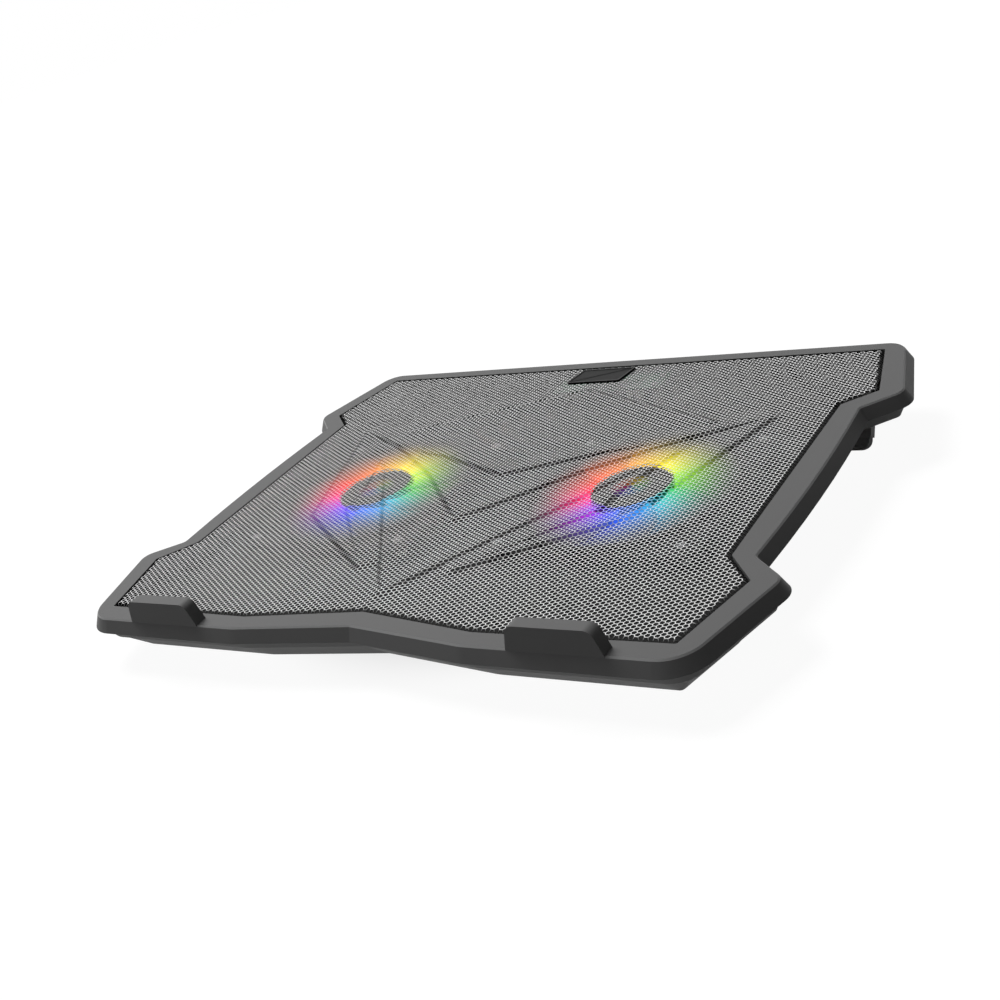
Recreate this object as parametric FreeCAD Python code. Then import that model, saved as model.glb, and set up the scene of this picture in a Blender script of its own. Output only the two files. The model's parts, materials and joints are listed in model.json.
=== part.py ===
import FreeCAD, Part
import math
import os
from FreeCAD import Vector as V

# Laptop cooling pad: a wide, thin tray with a metal mesh deck, two lit fans and two
# flip-out rear legs.  It is modelled lying flat in "deck" coordinates (x to the right,
# y from the front edge to the back, z = 0 on the bezel's top face), then tipped onto
# its front feet and its legs, with the origin under the middle of its bounding box.

# ---------------------------------------------------------------- driving dimensions
DEPTH = 269.1               # bezel's top face, front edge to back edge
HALF_WIDTH = 163.0          # bezel's top face, middle to the front corner
FRONT_WING = 17.2           # how far the front wing stands out past HALF_WIDTH
REAR_WING = 16.2
WAIST_BULGE = 4.4           # how far the waist's middle vertex stands out
FRONT_WING_Y = 56.8         # front wing's tip, from the front edge
FRONT_NOTCH_Y = 71.3
REAR_WING_BACK = 55.7       # rear wing's tip, from the back edge
REAR_NOTCH_BACK = 71.0
RECESS_HALF = 64.2          # shallow V in the front edge: half its width, and its depth
RECESS_DEPTH = 8.0
BACK_RADIUS = 12.0
WING_RADIUS = 7.5
NOTCH_RADIUS = 3.0
WAIST_RADIUS = 850.0
FRONT_RADIUS = 17.0
RECESS_RADIUS = 30.0
APEX_RADIUS = 4.0

RIM_BACK = 7.5              # bezel's flat rim between outline and mesh opening
RIM_SIDE = 10.4
RIM_FRONT = 9.4
RIM_CORNER = 7.0            # across the front corner
RIM_WING = 12.4
RIM_APEX = 10.7
OPENING_RADIUS = 1.0
OPENING_CORNER_IN = 1.4     # the opening's front corner, behind its front edge
OPENING_WING_FORWARD = 3.0  # the opening's front wing tip, in front of the outline's
OPENING_WING_BACK = 1.8     # its rear wing tip, behind the outline's
OPENING_NOTCH_BACK = 4.0    # its rear notch, behind the outline's
OPENING_BACK_IN = 1.0       # its back corner, inward of its front one

BEZEL_HEIGHT = 6.6
BEZEL_FLARE = 3.0           # the wall leans out by this much at its foot
BEZEL_EDGE = 0.7            # light-catching chamfer round the top face
BEZEL_WALL = 2.0
BEZEL_PLATE = 2.0

MESH_RISE = 0.4             # mesh top above the bezel's top face
MESH_THICK = 0.8
MESH_FLANK = 2.4            # width of the bent-down border
MESH_FLANGE = 2.5           # how far the flange reaches under the bezel
MESH_FLANK_WALL = 0.9
MESH_GAP = 0.3

STOP_START = 86.5           # laptop stop on the front rim, from the middle
STOP_WIDTH = 44.7
STOP_HEIGHT = 11.0
STOP_THICK = 6.5
STOP_SLANT = 3.2
STOP_RADIUS = 4.5

BODY_HEIGHT = 13.5          # bezel's top face down to the shell's underside
SHELL_TAPER = 4.0           # the shell's wall leans in by this much at its foot
SHELL_FLOOR = 2.0
SHELL_INNER_LEAN = 1.6      # the inner wall leans in by this much
SHELL_LIP_GAP = 0.5         # between the shell's lip and the bezel's wall
SHELL_LIP = 2.0
LIP_TOP_GAP = 0.2

BOSS_R = 3.0
BOSS_GAP = 0.4
BOSS_PAST_RECESS = 9.0      # front bosses: past the recess, and in from the corner
BOSS_FROM_CORNER = 23.0
BOSS_FROM_NOTCH = 30.0
BOSS_FROM_BACK_CORNER = 62.0
CASE_SCREW_R = 1.25
SCREW_HEAD_R = 2.4
SCREW_HEAD_H = 1.2
SCREW_CLEAR = 0.2
SCREW_SLOT = 0.6
SCREW_SLOT_DEPTH = 0.5
PILOT_FLOOR = 0.5           # plastic left under a fan screw's hole
CASE_SCREW_TOP = 4.0        # how far below the top face the case screws end

FAN_X = 76.3
FAN_Y = 131.0
FAN_SIZE = 110.0
FAN_TOP_GAP = 2.2           # fan's top below the mesh's underside
FAN_FLANGE_UNDER = 4.5      # flange's underside above the shell's floor
FAN_FLANGE = 2.0
FAN_HOLE = 47.0             # screw holes from the fan's centre, in x and y
FAN_CORNER_R = 8.0
FAN_RING_WALL = 3.0
FAN_RING_INSET = 0.5
FAN_SCREW_R = 1.2
TIP_GAP = 1.5               # blade tip to ring
HUB_R = 19.5
HUB_TOP = 2.2               # hub's top below the bezel's top face
HUB_WALL = 1.6
HUB_PLATE = 1.4
HUB_HANG = 9.3              # hub's rim below the bezel's top face
BLADE_COUNT = 9
BLADE_CHORD = 13.0
BLADE_THICK = 1.2
BLADE_PITCH = 20.0          # degrees
BLADE_MID = 5.8             # blade's middle below the bezel's top face
BASE_R = 25.0
BASE_THICK = 1.0
STRUT_COUNT = 3
STRUT_WIDTH = 5.0
SHAFT_R = 1.5
SHAFT_GAP = 0.05            # running clearance of shafts and hinge pins
SHAFT_END_GAP = 0.1
SHAFT_SEAT = 0.7            # plastic left over the shaft's end in the hub
BEARING_R = 3.5
TUBE_R = 4.7
BEARING_TOP = 5.3           # below the bezel's top face
HUB_BOSS_R = 3.0
HUB_BOSS_GAP = 0.3
BOARD_THICK = 0.6
BOARD_INSET = 1.0
LED_COUNT = 8
LED_SIZE = 2.4
LED_HEIGHT = 0.8
MAGNET_THICK = 2.5
MAGNET_TOP_GAP = 0.4
MAGNET_FOOT = 0.1           # magnet's foot above the hub's rim
AIR_GAP = 0.9               # stator to magnet
POLE_COUNT = 4
POLE_WIDTH = 5.0
POLE_HEIGHT = 2.6
POLE_SHOE = 2.0
CORE_WALL = 3.3
COIL_WALL = 1.0
SHOE_OVER = 0.5             # pole shoe past the coil, each side
COIL_GAP = 0.3

VENT_RADII = ((27.5, 34.0), (37.0, 43.0), (46.0, 50.5))
VENT_SPOKES = 6
VENT_SPOKE_WIDTH = 4.0

LEG_HINGE_BACK = 38.1       # hinge axis, from the back edge
LEG_HINGE_UP = 3.0          # hinge axis above the shell's underside
LEG_OUTER = 157.5           # leg's outer side, from the middle
LEG_WIDTH = 29.0
LEG_THICK = 5.0
LEG_LENGTH = 25.8           # hinge axis to the tip's end
LEG_TIP = 6.0
LEG_TAPER = 1.0             # each side, from hinge to tip
LEG_LEAN = 30.0             # degrees forward of square when it is out
LEG_RECESS = 1.2
LEG_RECESS_MARGIN = 4.0
TIP_STEP = 0.8              # the rubber tip is this much narrower each side
TIP_THICK = 4.6
TIP_CORNER_R = 5.0
PIN_R = 1.5
POCKET_GAP = 0.3
POCKET_DEPTH = 7.2
POCKET_WALL = 1.5
POCKET_END = 1.5

BAR_BOTTOM = 26.0           # bezel's top face down to the underside of the foot bars
BAR_WALL = 2.4
BAR_FLOOR = 2.0
BAR_ROOM_STEP = 3.5         # the room in a bar is this much steeper than its outside
FRONT_BAR_INSET = 16.5      # front bar's bottom edge, in from the outline
FRONT_BAR_APEX_INSET = 16.5
FRONT_BAR_CORNER = 14.0     # its front and back corners, in from HALF_WIDTH
FRONT_BAR_SIDE = 3.5
FRONT_BAR_BACK = 51.0
FRONT_BAR_LEAN = 12.0       # its walls lean out by this much up to the shell
BAR_RADIUS = 2.0
REAR_BAR_START = 48.0       # rear bars, from the middle
REAR_BAR_WIDTH = 60.0
REAR_BAR_BACK = 23.0        # rear bars' back edge, from the back edge
REAR_BAR_DEPTH = 20.0
REAR_BAR_LEAN = 6.0

FOOT_LENGTH = 36.0
FOOT_WIDTH = 9.0
FOOT_HEIGHT = 1.5
FRONT_FOOT_X = 110.0
FRONT_FOOT_Y = 26.0

BADGE_LENGTH = 33.0
BADGE_WIDTH = 16.0
BADGE_SLANT = 3.0
BADGE_HEIGHT = 1.2
BADGE_BACK = 21.0
BADGE_RADIUS = 1.2
BADGE_EDGE_LEAN = 0.5
BADGE_SEAT = 0.4            # how deep the badge sits in the mesh panel
BADGE_GAP = 0.15            # round it, in its seat

BOARD_LEFT = -31.0          # control board, under the back edge
BOARD_RIGHT = 36.0
BOARD_BACK = 5.5            # board's rear edge, from the back edge
BOARD_DEPTH = 21.0
BOARD_PCB = 1.0
POST_R = 2.2
POST_INSET = 3.5
POST_ROW_GAP = 10.5
POST_SCREW_R = 0.9
POST_HEAD_R = 1.8
POST_HEAD_H = 0.8
POST_SCREW_LENGTH = 4.0

USB_WIDTH = 13.2
USB_HEIGHT = 5.1
USB_DEPTH = 14.0
USB_WALL = 0.4
USB_XS = (-16.0, 4.0)
USB_BACK = 2.9              # socket's mouth, from the back edge
USB_GAP = 0.2
BACK_CUT = 9.0              # the sockets' and button's cuts start this far from the back edge
TONGUE_WIDTH = 10.8
TONGUE_THICK = 1.8
TONGUE_LENGTH = 11.0
TONGUE_BLOCK = (2.0, 3.9)   # the block behind the tongue: its depth and height

BUTTON_X = 22.0
BUTTON_WIDTH = 8.0
BUTTON_HEIGHT = 3.0
BUTTON_FLANGE = 1.2
BUTTON_FLANGE_THICK = 1.1
BUTTON_FLANGE_TALL = 0.5    # flange past the button, above and below
BUTTON_EDGE = 0.5
BUTTON_DROP = 0.9           # button's middle below the switch's
BUTTON_TRAVEL = 0.5
BUTTON_SIDE_GAP = 0.2
BUTTON_BACK_GAP = 5.1       # flange's rear face, from the back edge
BUTTON_REACH = 0.1          # button's end past the back edge
SWITCH_WIDTH = 6.0
SWITCH_HEIGHT = 3.8
SWITCH_DEPTH = 5.0
SWITCH_STEM_R = 1.0
SWITCH_STEM = 0.8
SWITCH_GAP = 0.1

LEAD_R = 1.0
LEAD_LIFT = 1.5             # lead's middle above the shell's floor
LEAD_BEND = 12.0
LEAD_RUN = 22.0             # straight run behind the fan
LEAD_TURN = 12.0            # straight run before the plug
PLUG_X = 20.0
PLUG_SIZE = (8.0, 5.0, 4.8)

# ---------------------------------------------------------------- levels (deck z)
FLOOR_BOTTOM = -BODY_HEIGHT
FLOOR_TOP = FLOOR_BOTTOM + SHELL_FLOOR
MESH_TOP = MESH_RISE
MESH_UNDER = MESH_TOP - MESH_THICK
FLANGE_TOP = -BEZEL_PLATE
FLANGE_UNDER = FLANGE_TOP - MESH_THICK
LIP_TOP = FLANGE_UNDER - LIP_TOP_GAP
FAN_TOP = MESH_UNDER - FAN_TOP_GAP
FAN_FLANGE_Z = FLOOR_TOP + FAN_FLANGE_UNDER
BOARD_UNDER = FLOOR_TOP + USB_GAP + USB_HEIGHT
HINGE_Z = FLOOR_BOTTOM + LEG_HINGE_UP
HINGE_Y = DEPTH - LEG_HINGE_BACK
BAR_UNDER = -BAR_BOTTOM
FOOT_BOTTOM = BAR_UNDER - FOOT_HEIGHT
SIDES = (("right", 1), ("left", -1))


# ---------------------------------------------------------------- plain shapes
def box(x0, x1, y0, y1, z0, z1):
    return Part.makeBox(x1 - x0, y1 - y0, z1 - z0, V(x0, y0, z0))


def rod(radius, z0, z1, x=0.0, y=0.0):
    return Part.makeCylinder(radius, z1 - z0, V(x, y, z0))


def ring(outer, inner, z0, z1, x=0.0, y=0.0):
    return rod(outer, z0, z1, x, y).cut(rod(inner, z0 - 1, z1 + 1, x, y))


def slab(x, y, length, width, z0, z1):
    """A flat pad with half-round ends, its length along x."""
    half = length / 2 - width / 2
    body = box(x - half, x + half, y - width / 2, y + width / 2, z0, z1)
    ends = [rod(width / 2, z0, z1, x + side * half, y) for side in (-1, 1)]
    return body.multiFuse(ends).removeSplitter()


def turned(shape, angle, centre=V(0, 0, 0), axis=V(0, 0, 1)):
    copy = shape.copy()
    copy.rotate(centre, axis, angle)
    return copy


def moved(shape, x=0.0, y=0.0, z=0.0):
    copy = shape.copy()
    copy.translate(V(x, y, z))
    return copy


def mirrored(shape):
    return shape.mirror(V(0, 0, 0), V(1, 0, 0))


def around(shape, count, centre=V(0, 0, 0), start=0.0):
    return [turned(shape, start + 360.0 * i / count, centre) for i in range(count)]


# ---------------------------------------------------------------- rounded outlines
def both_halves(half):
    """Close a right-hand half outline, given from the front middle to the back."""
    return half + [(-x, y, r) for x, y, r in reversed(half[1:])]


def outward_offset(before, here, after, distance):
    """Move one vertex of an anticlockwise outline outward along its mitre."""
    first = (here - before).normalize()
    second = (after - here).normalize()
    n1 = V(first.y, -first.x, 0)
    n2 = V(second.y, -second.x, 0)
    return here + (n1 + n2) * (distance / (1 + n1.dot(n2)))


def rounded_wire(outline, z, offset=0.0):
    """The closed wire of an outline, offset outward, with an arc at each vertex."""
    count = len(outline)
    raw = [V(x, y, z) for x, y, _ in outline]
    grown = [outward_offset(raw[i - 1], raw[i], raw[(i + 1) % count], offset)
             for i in range(count)]
    starts, arcs = [], []
    for i in range(count):
        here, radius = grown[i], outline[i][2]
        into = (here - grown[i - 1]).normalize()
        out = (grown[(i + 1) % count] - here).normalize()
        left = into.cross(out).z > 0
        radius = max(radius + (offset if left else -offset), 0.4)
        turn = into.getAngle(out)
        reach = radius * math.tan(turn / 2)
        start = here - into * reach
        end = here + out * reach
        towards = ((end - here) + (start - here)).normalize()
        centre = here + towards * (radius / math.cos(turn / 2))
        middle = centre - towards * radius
        starts.append(start)
        arcs.append((start, middle, end))
    edges = []
    for i in range(count):
        start, middle, end = arcs[i]
        edges.append(Part.Arc(start, middle, end).toShape())
        edges.append(Part.LineSegment(end, starts[(i + 1) % count]).toShape())
    return Part.Wire(edges)


def tapered(outline, *levels):
    """A solid through the outline at several (z, offset) levels, with straight walls."""
    wires = [rounded_wire(outline, z, offset) for z, offset in levels]
    return Part.makeLoft(wires, True, True)


def prism(outline, z0, z1, offset=0.0):
    return tapered(outline, (z0, offset), (z1, offset))


def rim_outline():
    rear_wing_y = DEPTH - REAR_WING_BACK
    rear_notch_y = DEPTH - REAR_NOTCH_BACK
    waist_y = (FRONT_NOTCH_Y + rear_notch_y) / 2
    return both_halves([
        (0.0, RECESS_DEPTH, APEX_RADIUS),
        (RECESS_HALF, 0.0, RECESS_RADIUS),
        (HALF_WIDTH, 0.0, FRONT_RADIUS),
        (HALF_WIDTH + FRONT_WING, FRONT_WING_Y, WING_RADIUS),
        (HALF_WIDTH, FRONT_NOTCH_Y, NOTCH_RADIUS),
        (HALF_WIDTH + WAIST_BULGE, waist_y, WAIST_RADIUS),
        (HALF_WIDTH, rear_notch_y, NOTCH_RADIUS),
        (HALF_WIDTH + REAR_WING, rear_wing_y, WING_RADIUS),
        (HALF_WIDTH, DEPTH, BACK_RADIUS),
    ])


def opening_outline():
    corner = OPENING_RADIUS
    rear_wing_y = DEPTH - REAR_WING_BACK
    rear_notch_y = DEPTH - REAR_NOTCH_BACK
    return both_halves([
        (0.0, RECESS_DEPTH + RIM_APEX, corner),
        (RECESS_HALF, RIM_FRONT, corner),
        (HALF_WIDTH - RIM_CORNER, RIM_FRONT + OPENING_CORNER_IN, corner),
        (HALF_WIDTH + FRONT_WING - RIM_WING, FRONT_WING_Y - OPENING_WING_FORWARD, corner),
        (HALF_WIDTH - RIM_SIDE, FRONT_NOTCH_Y, corner),
        (HALF_WIDTH - RIM_SIDE, rear_notch_y + OPENING_NOTCH_BACK, corner),
        (HALF_WIDTH + REAR_WING - RIM_WING, rear_wing_y + OPENING_WING_BACK, corner),
        (HALF_WIDTH - RIM_CORNER - OPENING_BACK_IN, DEPTH - RIM_BACK, corner),
    ])


RIM = rim_outline()
OPENING = opening_outline()


def bezel_offset(z):
    """The bezel's outer wall at height z, outward of the top outline."""
    return BEZEL_FLARE * (-BEZEL_EDGE - z) / (BEZEL_HEIGHT - BEZEL_EDGE)


LIP_OFFSET = bezel_offset(LIP_TOP) - BEZEL_WALL - SHELL_LIP_GAP


def shell_inner_offset(z):
    """The shell's inner wall at height z: it leans in a little towards the floor."""
    top = LIP_OFFSET - SHELL_LIP
    foot = top - SHELL_INNER_LEAN
    return foot + (top - foot) * (z - FLOOR_TOP) / (LIP_TOP - FLOOR_TOP)


BOSS_INSET = BOSS_R + BOSS_GAP - shell_inner_offset(FLOOR_TOP)


def boss_places():
    side_x = HALF_WIDTH + WAIST_BULGE / 3 - BOSS_INSET
    half = [
        (RECESS_HALF + BOSS_PAST_RECESS, BOSS_INSET),
        (HALF_WIDTH - BOSS_FROM_CORNER, BOSS_INSET),
        (side_x, FRONT_NOTCH_Y + BOSS_FROM_NOTCH),
        (side_x, DEPTH - REAR_NOTCH_BACK - BOSS_FROM_NOTCH),
        (HALF_WIDTH - BOSS_FROM_BACK_CORNER, DEPTH - BOSS_INSET),
    ]
    return half + [(-x, y) for x, y in half]


# ---------------------------------------------------------------- casing
def laptop_stop():
    """The upright lug that keeps a laptop from sliding off: an upright plate."""
    end = STOP_START + STOP_WIDTH
    r = STOP_RADIUS
    face = [V(STOP_START, 0, -BEZEL_EDGE), V(end, 0, -BEZEL_EDGE), V(end, 0, 0),
            V(end - STOP_SLANT, 0, STOP_HEIGHT), V(STOP_START + STOP_SLANT, 0, STOP_HEIGHT),
            V(STOP_START, 0, 0)]
    plate = Part.Face(Part.makePolygon(face + face[:1])).extrude(V(0, STOP_THICK, 0))
    corners = [e for e in plate.Edges
               if abs(e.CenterOfMass.z - STOP_HEIGHT) < 0.01 and e.BoundBox.XLength < 0.01]
    return plate.makeFillet(r, corners)


def top_bezel():
    body = tapered(RIM, (-BEZEL_HEIGHT, BEZEL_FLARE), (-BEZEL_EDGE, 0.0), (0.0, -BEZEL_EDGE))
    below = -BEZEL_HEIGHT - 1.0
    room = tapered(RIM, (below, bezel_offset(below) - BEZEL_WALL),
                   (-BEZEL_PLATE, bezel_offset(-BEZEL_PLATE) - BEZEL_WALL))
    body = body.cut(room).cut(prism(OPENING, -BEZEL_HEIGHT, 1.0))
    stop = laptop_stop()
    bosses = [rod(BOSS_R, FLOOR_TOP, -BEZEL_PLATE, x, y) for x, y in boss_places()]
    body = body.multiFuse([stop, mirrored(stop)] + bosses)
    pilots = [rod(CASE_SCREW_R, FLOOR_TOP - 1, -CASE_SCREW_TOP, x, y) for x, y in boss_places()]
    return body.cut(Part.makeCompound(pilots)).removeSplitter()


def mesh_offset(z):
    """The mesh's bent-down border at height z, outward of the opening."""
    share = (z - FLANGE_UNDER) / (MESH_TOP - FLANGE_UNDER)
    return -MESH_GAP - MESH_FLANK * share


def mesh_panel():
    below = FLANGE_UNDER - 1.0
    body = tapered(OPENING, (FLANGE_UNDER, mesh_offset(FLANGE_UNDER)),
                   (MESH_TOP, mesh_offset(MESH_TOP)))
    body = body.fuse(prism(OPENING, FLANGE_UNDER, FLANGE_TOP, MESH_FLANGE))
    body = body.cut(tapered(OPENING, (below, mesh_offset(below) - MESH_FLANK_WALL),
                            (MESH_UNDER, mesh_offset(MESH_UNDER) - MESH_FLANK_WALL)))
    rooms = [rod(BOSS_R + BOSS_GAP, below, FLANGE_TOP + BOSS_GAP, x, y) for x, y in boss_places()]
    rooms.append(prism(badge_outline(), MESH_TOP - BADGE_SEAT, MESH_TOP + 1.0, BADGE_GAP))
    return body.cut(Part.makeCompound(rooms)).removeSplitter()


def badge_outline():
    y = DEPTH - BADGE_BACK
    half, slant = BADGE_LENGTH / 2, BADGE_SLANT / 2
    outline = [(-half - slant, y - BADGE_WIDTH / 2, BADGE_RADIUS),
               (half - slant, y - BADGE_WIDTH / 2, BADGE_RADIUS),
               (half + slant, y + BADGE_WIDTH / 2, BADGE_RADIUS),
               (-half + slant, y + BADGE_WIDTH / 2, BADGE_RADIUS)]
    return outline


def badge_plate():
    """A bare slanted plate, where such a pad carries its badge, seated in the mesh panel."""
    outline = badge_outline()
    body = tapered(outline, (MESH_TOP, 0.0), (MESH_TOP + BADGE_HEIGHT, -BADGE_EDGE_LEAN))
    return body.fuse(prism(outline, MESH_TOP - BADGE_SEAT, MESH_TOP)).removeSplitter()


def pocket_sizes():
    """Inner corners of the right-hand leg pocket."""
    x1 = LEG_OUTER + POCKET_GAP
    x0 = LEG_OUTER - LEG_WIDTH - POCKET_GAP
    lean = math.radians(LEG_LEAN)
    face = LEG_HINGE_UP * math.tan(lean) + LEG_THICK / 2 / math.cos(lean)
    return x0, x1, HINGE_Y - face - POCKET_GAP, HINGE_Y + LEG_LENGTH + POCKET_END


def leg_pockets(wall):
    x0, x1, y0, y1 = pocket_sizes()
    top = FLOOR_BOTTOM + POCKET_DEPTH
    low = FLOOR_BOTTOM - (0.0 if wall else 1.0)
    shape = box(x0 - wall, x1 + wall, y0 - wall, y1 + wall, low, top + wall)
    return [shape, mirrored(shape)]


def fan_vents():
    slots = []
    for _, side in SIDES:
        centre = V(side * FAN_X, FAN_Y, 0)
        spoke = box(centre.x, centre.x + FAN_SIZE / 2, centre.y - VENT_SPOKE_WIDTH / 2,
                    centre.y + VENT_SPOKE_WIDTH / 2, FLOOR_BOTTOM - 2, FLOOR_TOP + 2)
        spokes = Part.makeCompound(around(spoke, VENT_SPOKES, centre))
        for inner, outer in VENT_RADII:
            band = ring(outer, inner, FLOOR_BOTTOM - 1, FLOOR_TOP + 1, centre.x, centre.y)
            slots.append(band.cut(spokes))
    return slots


def fan_hole_places():
    return [(side * FAN_X + a * FAN_HOLE, FAN_Y + b * FAN_HOLE)
            for _, side in SIDES for a in (-1, 1) for b in (-1, 1)]


def board_post_places():
    back = DEPTH - BOARD_BACK - BOARD_DEPTH + POST_INSET
    return [(x, y) for x in (BOARD_LEFT + POST_INSET, BOARD_RIGHT - POST_INSET)
            for y in (back, back + POST_ROW_GAP)]


def back_wall_cuts():
    y0, y1 = DEPTH - BACK_CUT, DEPTH + 1.0
    cuts = []
    for x in USB_XS:
        half = USB_WIDTH / 2 + USB_GAP
        cuts.append(box(x - half, x + half, y0, y1, FLOOR_TOP, BOARD_UNDER))
    half, z = BUTTON_WIDTH / 2 + BUTTON_SIDE_GAP, button_middle()
    tall = BUTTON_HEIGHT / 2 + BUTTON_SIDE_GAP
    cuts.append(box(BUTTON_X - half, BUTTON_X + half, y0, y1, z - tall, z + tall))
    return cuts


def lower_shell():
    body = tapered(RIM, (FLOOR_BOTTOM, -SHELL_TAPER), (-BEZEL_HEIGHT, 0.0))
    body = body.fuse(prism(RIM, -BEZEL_HEIGHT - 1.0, LIP_TOP, LIP_OFFSET))
    above = LIP_TOP + 1.0
    body = body.cut(tapered(RIM, (FLOOR_TOP, shell_inner_offset(FLOOR_TOP)),
                            (above, shell_inner_offset(above))))
    posts = [rod(BOSS_R, FLOOR_TOP, FAN_FLANGE_Z, x, y) for x, y in fan_hole_places()]
    posts += [rod(POST_R, FLOOR_TOP, BOARD_UNDER, x, y) for x, y in board_post_places()]
    body = body.multiFuse(leg_pockets(POCKET_WALL) + posts)
    cuts = leg_pockets(0.0) + fan_vents() + back_wall_cuts()
    cuts += [rod(FAN_SCREW_R, FLOOR_TOP + PILOT_FLOOR, FAN_FLANGE_Z + 1, x, y)
             for x, y in fan_hole_places()]
    cuts += [rod(POST_SCREW_R, BOARD_UNDER - POST_SCREW_LENGTH, BOARD_UNDER + 1, x, y)
             for x, y in board_post_places()]
    for x, y in boss_places():
        cuts.append(rod(CASE_SCREW_R + SCREW_CLEAR, FLOOR_BOTTOM - 1, FLOOR_TOP + 1, x, y))
        cuts.append(rod(SCREW_HEAD_R + SCREW_CLEAR, FLOOR_BOTTOM - 1,
                        FLOOR_BOTTOM + SCREW_HEAD_H, x, y))
    for pin in leg_pins():
        cuts.append(pin)
    return body.cut(Part.makeCompound(cuts)).removeSplitter()


def case_screws():
    screws = []
    for x, y in boss_places():
        head = rod(SCREW_HEAD_R, FLOOR_BOTTOM, FLOOR_BOTTOM + SCREW_HEAD_H, x, y)
        shank = rod(CASE_SCREW_R, FLOOR_BOTTOM + SCREW_HEAD_H, -CASE_SCREW_TOP, x, y)
        slot = box(x - SCREW_HEAD_R, x + SCREW_HEAD_R, y - SCREW_SLOT / 2, y + SCREW_SLOT / 2,
                   FLOOR_BOTTOM - 1, FLOOR_BOTTOM + SCREW_SLOT_DEPTH)
        screws.append(head.fuse(shank).cut(slot))
    return screws


def foot_bar(outline, lean):
    """A hollow bar under the shell, open at its top, that stands the vented floor clear."""
    body = tapered(outline, (BAR_UNDER, 0.0), (FLOOR_BOTTOM, lean))
    low = BAR_UNDER + BAR_FLOOR
    foot = lean * BAR_FLOOR / (FLOOR_BOTTOM - BAR_UNDER) - BAR_WALL
    room = tapered(outline, (low, foot), (FLOOR_BOTTOM, lean - BAR_WALL - BAR_ROOM_STEP))
    return body.cut(room)


def front_bar_outline():
    return both_halves([
        (0.0, RECESS_DEPTH + FRONT_BAR_APEX_INSET, APEX_RADIUS),
        (RECESS_HALF, FRONT_BAR_INSET, RECESS_RADIUS),
        (HALF_WIDTH - FRONT_BAR_CORNER, FRONT_BAR_INSET, BAR_RADIUS),
        (HALF_WIDTH - FRONT_BAR_SIDE, FRONT_BAR_BACK, BAR_RADIUS),
    ])


def rear_bar_outline():
    x0, x1 = REAR_BAR_START, REAR_BAR_START + REAR_BAR_WIDTH
    y1 = DEPTH - REAR_BAR_BACK
    y0 = y1 - REAR_BAR_DEPTH
    return [(x0, y0, BAR_RADIUS), (x1, y0, BAR_RADIUS), (x1, y1, BAR_RADIUS),
            (x0, y1, BAR_RADIUS)]


def rear_bars():
    bar = foot_bar(rear_bar_outline(), REAR_BAR_LEAN)
    return [bar, mirrored(bar)]


def feet(x, y):
    pad = slab(x, y, FOOT_LENGTH, FOOT_WIDTH, FOOT_BOTTOM, BAR_UNDER)
    return [pad, mirrored(pad)]


# ---------------------------------------------------------------- fans, about their axis
def fan_frame():
    half = FAN_SIZE / 2
    bore = half - FAN_RING_INSET - FAN_RING_WALL
    square = [(-half, -half, FAN_CORNER_R), (half, -half, FAN_CORNER_R),
              (half, half, FAN_CORNER_R), (-half, half, FAN_CORNER_R)]
    body = prism(square, FAN_FLANGE_Z, FAN_FLANGE_Z + FAN_FLANGE)
    body = body.fuse(rod(half - FAN_RING_INSET, FLOOR_TOP, FAN_TOP))
    body = body.cut(rod(bore, FLOOR_TOP - 1, FAN_TOP + 1))
    base_top = FLOOR_TOP + BASE_THICK
    strut = box(BASE_R - 1, bore + 1, -STRUT_WIDTH / 2, STRUT_WIDTH / 2, FLOOR_TOP, base_top)
    tube = ring(TUBE_R, BEARING_R, base_top - 0.5, -BEARING_TOP)
    body = body.multiFuse([rod(BASE_R, FLOOR_TOP, base_top), tube]
                          + around(strut, STRUT_COUNT, start=90.0))
    body = body.cut(rod(BEARING_R, base_top, 0.0))
    holes = [rod(FAN_SCREW_R + SCREW_CLEAR, FAN_FLANGE_Z - 1, FAN_FLANGE_Z + FAN_FLANGE + 1,
                 a * FAN_HOLE, b * FAN_HOLE) for a in (-1, 1) for b in (-1, 1)]
    return body.cut(Part.makeCompound(holes)).removeSplitter()


def fan_rotor(hand):
    """A cup-shaped hub with pitched blades; hand is +1 or -1."""
    tip = FAN_SIZE / 2 - FAN_RING_INSET - FAN_RING_WALL - TIP_GAP
    cup = rod(HUB_R, -HUB_HANG, -HUB_TOP).cut(rod(HUB_R - HUB_WALL, -HUB_HANG - 1,
                                                  -HUB_TOP - HUB_PLATE))
    boss = rod(HUB_BOSS_R, -BEARING_TOP + HUB_BOSS_GAP, -HUB_TOP - HUB_PLATE / 2)
    blade = box(HUB_R - HUB_WALL / 2, tip + 2, -BLADE_CHORD / 2, BLADE_CHORD / 2,
                -BLADE_THICK / 2, BLADE_THICK / 2)
    blade = turned(blade, hand * BLADE_PITCH, axis=V(1, 0, 0))
    blade = moved(blade, z=-BLADE_MID)
    blades = Part.makeCompound(around(blade, BLADE_COUNT)).common(rod(tip, -20.0, 0.0))
    body = cup.fuse(boss).multiFuse(blades.Solids)
    room = rod(HUB_R - HUB_WALL, -HUB_HANG - 1, -BEARING_TOP + HUB_BOSS_GAP)
    return body.cut(room).cut(rod(SHAFT_R, -BEARING_TOP, -HUB_TOP - SHAFT_SEAT)).removeSplitter()


def fan_shaft():
    return rod(SHAFT_R, FLOOR_TOP + BASE_THICK + SHAFT_END_GAP, -HUB_TOP - SHAFT_SEAT)


def fan_bearing():
    return ring(BEARING_R, SHAFT_R + SHAFT_GAP, FLOOR_TOP + BASE_THICK, -BEARING_TOP)


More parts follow.
